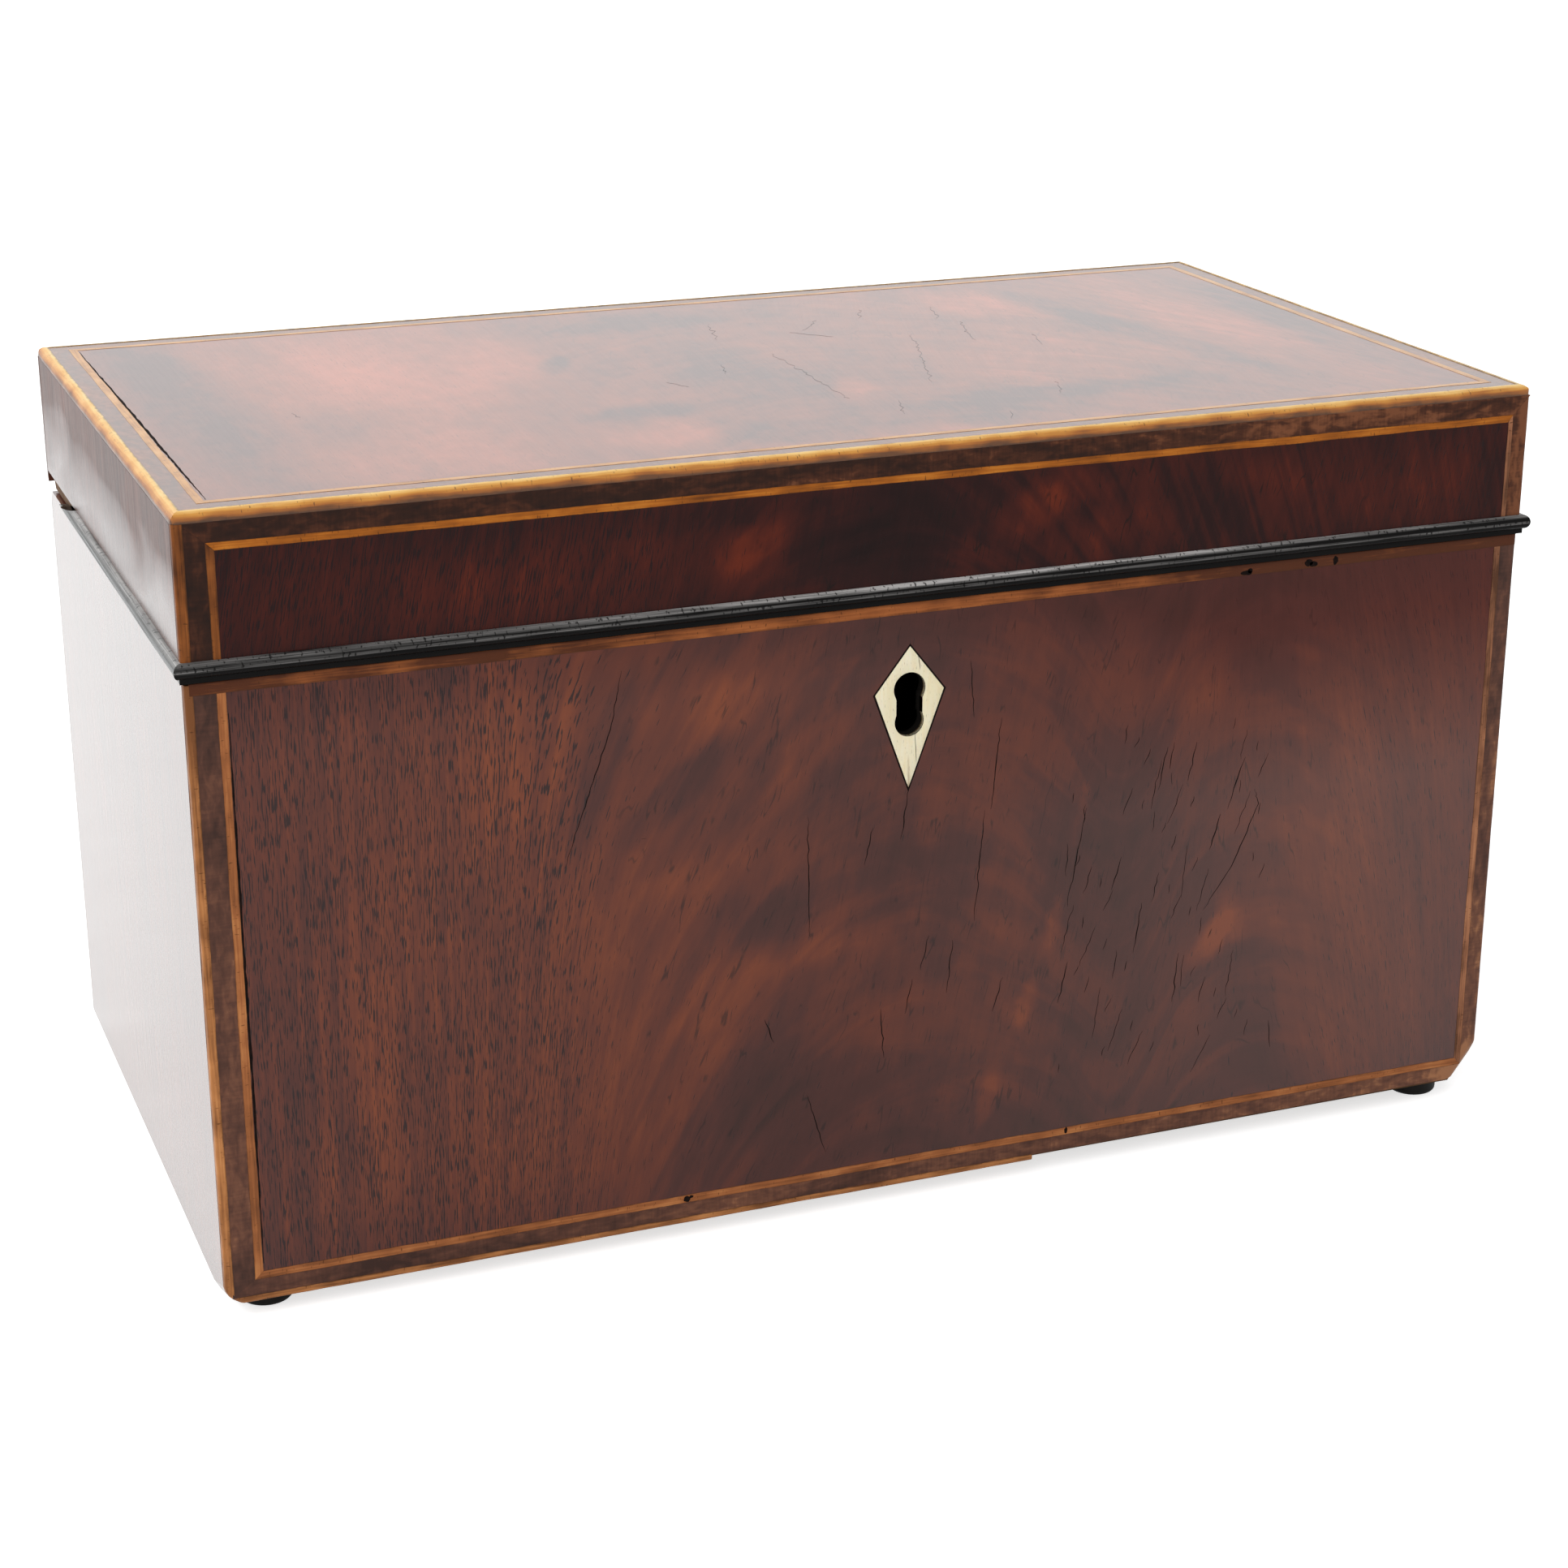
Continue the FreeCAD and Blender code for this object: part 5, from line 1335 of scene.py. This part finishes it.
dress(["lock_case", "lock_cover"], lock_brass_shaded, 0.15 * MM)
dress(["lock_bolt", "link_plate", "hinge_leaf_body_left", "hinge_leaf_body_right", "hinge_leaf_lid_left",
       "hinge_leaf_lid_right", "hinge_pins"], aged_brass, 0.15 * MM)
dress(["lock_screws", "link_plate_screws", "hinge_screws_body", "hinge_screws_lid"], dull_iron, 0.1 * MM)


# Floor, light and camera
def floor_finish():
    """Matt white paper: a faint tooth, and bright enough to run into the background."""
    material, tree, shader = new_finish("matt_white_paper", roughness=0.9, specular_ior_level=0.1)
    tooth = add(tree, "ShaderNodeTexNoise", {"Scale": 1 / (1.2 * MM), "Detail": 2.0}).outputs["Fac"]
    stops = ((0.3, "#f4f4f4"), (0.7, "#fafafa"))
    tree.links.new(add(tree, "ShaderNodeValToRGB", {0: tooth}, stops).outputs[0], shader["Base Color"])
    path = add(tree, "ShaderNodeLightPath").outputs
    mirrored = add(tree, "ShaderNodeMath", {0: path["Is Glossy Ray"], 1: 0.33},
                   operation="MULTIPLY").outputs[0]
    glow = add(tree, "ShaderNodeMath", {0: path["Is Camera Ray"], 1: 0.66, 2: mirrored},
               operation="MULTIPLY_ADD").outputs[0]
    shader["Emission Color"].default_value = (1, 1, 1, 1)
    tree.links.new(glow, shader["Emission Strength"])
    return material


ground = bmesh.new()
bmesh.ops.create_grid(ground, x_segments=1, y_segments=1, size=6)
floor_mesh = bpy.data.meshes.new("floor")
ground.to_mesh(floor_mesh)
ground.free()
floor_mesh.materials.append(floor_finish())
floor = bpy.data.objects.new("floor", floor_mesh)
scene.collection.objects.link(floor)
floor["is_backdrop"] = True

world = bpy.data.worlds.new("white_room")
scene.world = world
world.use_nodes = True
sky = world.node_tree
sky.nodes.clear()
path = add(sky, "ShaderNodeLightPath").outputs
seen = path["Is Camera Ray"]
for ray in ("Is Glossy Ray", "Is Transmission Ray"):
    seen = add(sky, "ShaderNodeMath", {0: seen, 1: path[ray]}, operation="MAXIMUM").outputs[0]
strength = add(sky, "ShaderNodeMapRange", {0: seen, 3: 0.5, 4: 1.0}).outputs[0]
background = add(sky, "ShaderNodeBackground", {"Color": (1, 1, 1, 1), "Strength": strength})
add(sky, "ShaderNodeOutputWorld", {"Surface": background.outputs[0]})


def softbox(name, place, aim, size, power, colour="#ffffff"):
    """A rectangular lamp, aimed at a point and out of the camera's sight."""
    lamp = bpy.data.lights.new(name, "AREA")
    lamp.shape = "RECTANGLE"
    lamp.size, lamp.size_y = size
    lamp.energy = power
    lamp.color = linear(colour)[:3]
    light = bpy.data.objects.new(name, lamp)
    light.location = place
    light.rotation_euler = (Vector(aim) - Vector(place)).to_track_quat("-Z", "Y").to_euler()
    light.visible_camera = False
    scene.collection.objects.link(light)


softbox("key_front_left", (-0.9, -1.1, 1.3), (0, 0, 0.06), (1.0, 1.0), 12.5)
softbox("window_behind_left", (-0.55, 0.45, 0.6), (-0.25, 0.25, 0), (0.6, 0.6), 3.4, "#f8feff")

CAMERA_PLACE = Vector((-0.18234, -0.4779, 0.2380))
CAMERA_RIGHT = Vector((0.93193, -0.36263, -0.00090))
CAMERA_UP = Vector((0.12416, 0.31675, 0.94035))
CAMERA_FORWARD = Vector((0.34071, 0.87645, -0.34021))
lens = bpy.data.cameras.new("camera")
lens.sensor_width = 36
lens.lens = 71.82
lens.clip_start = 0.01
camera = bpy.data.objects.new("camera", lens)
turned_to = Matrix((CAMERA_RIGHT, CAMERA_UP, -CAMERA_FORWARD)).transposed().to_4x4()
camera.matrix_world = Matrix.Translation(CAMERA_PLACE) @ turned_to
scene.collection.objects.link(camera)
scene.camera = camera
scene.view_settings.view_transform = "Standard"

low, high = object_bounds()
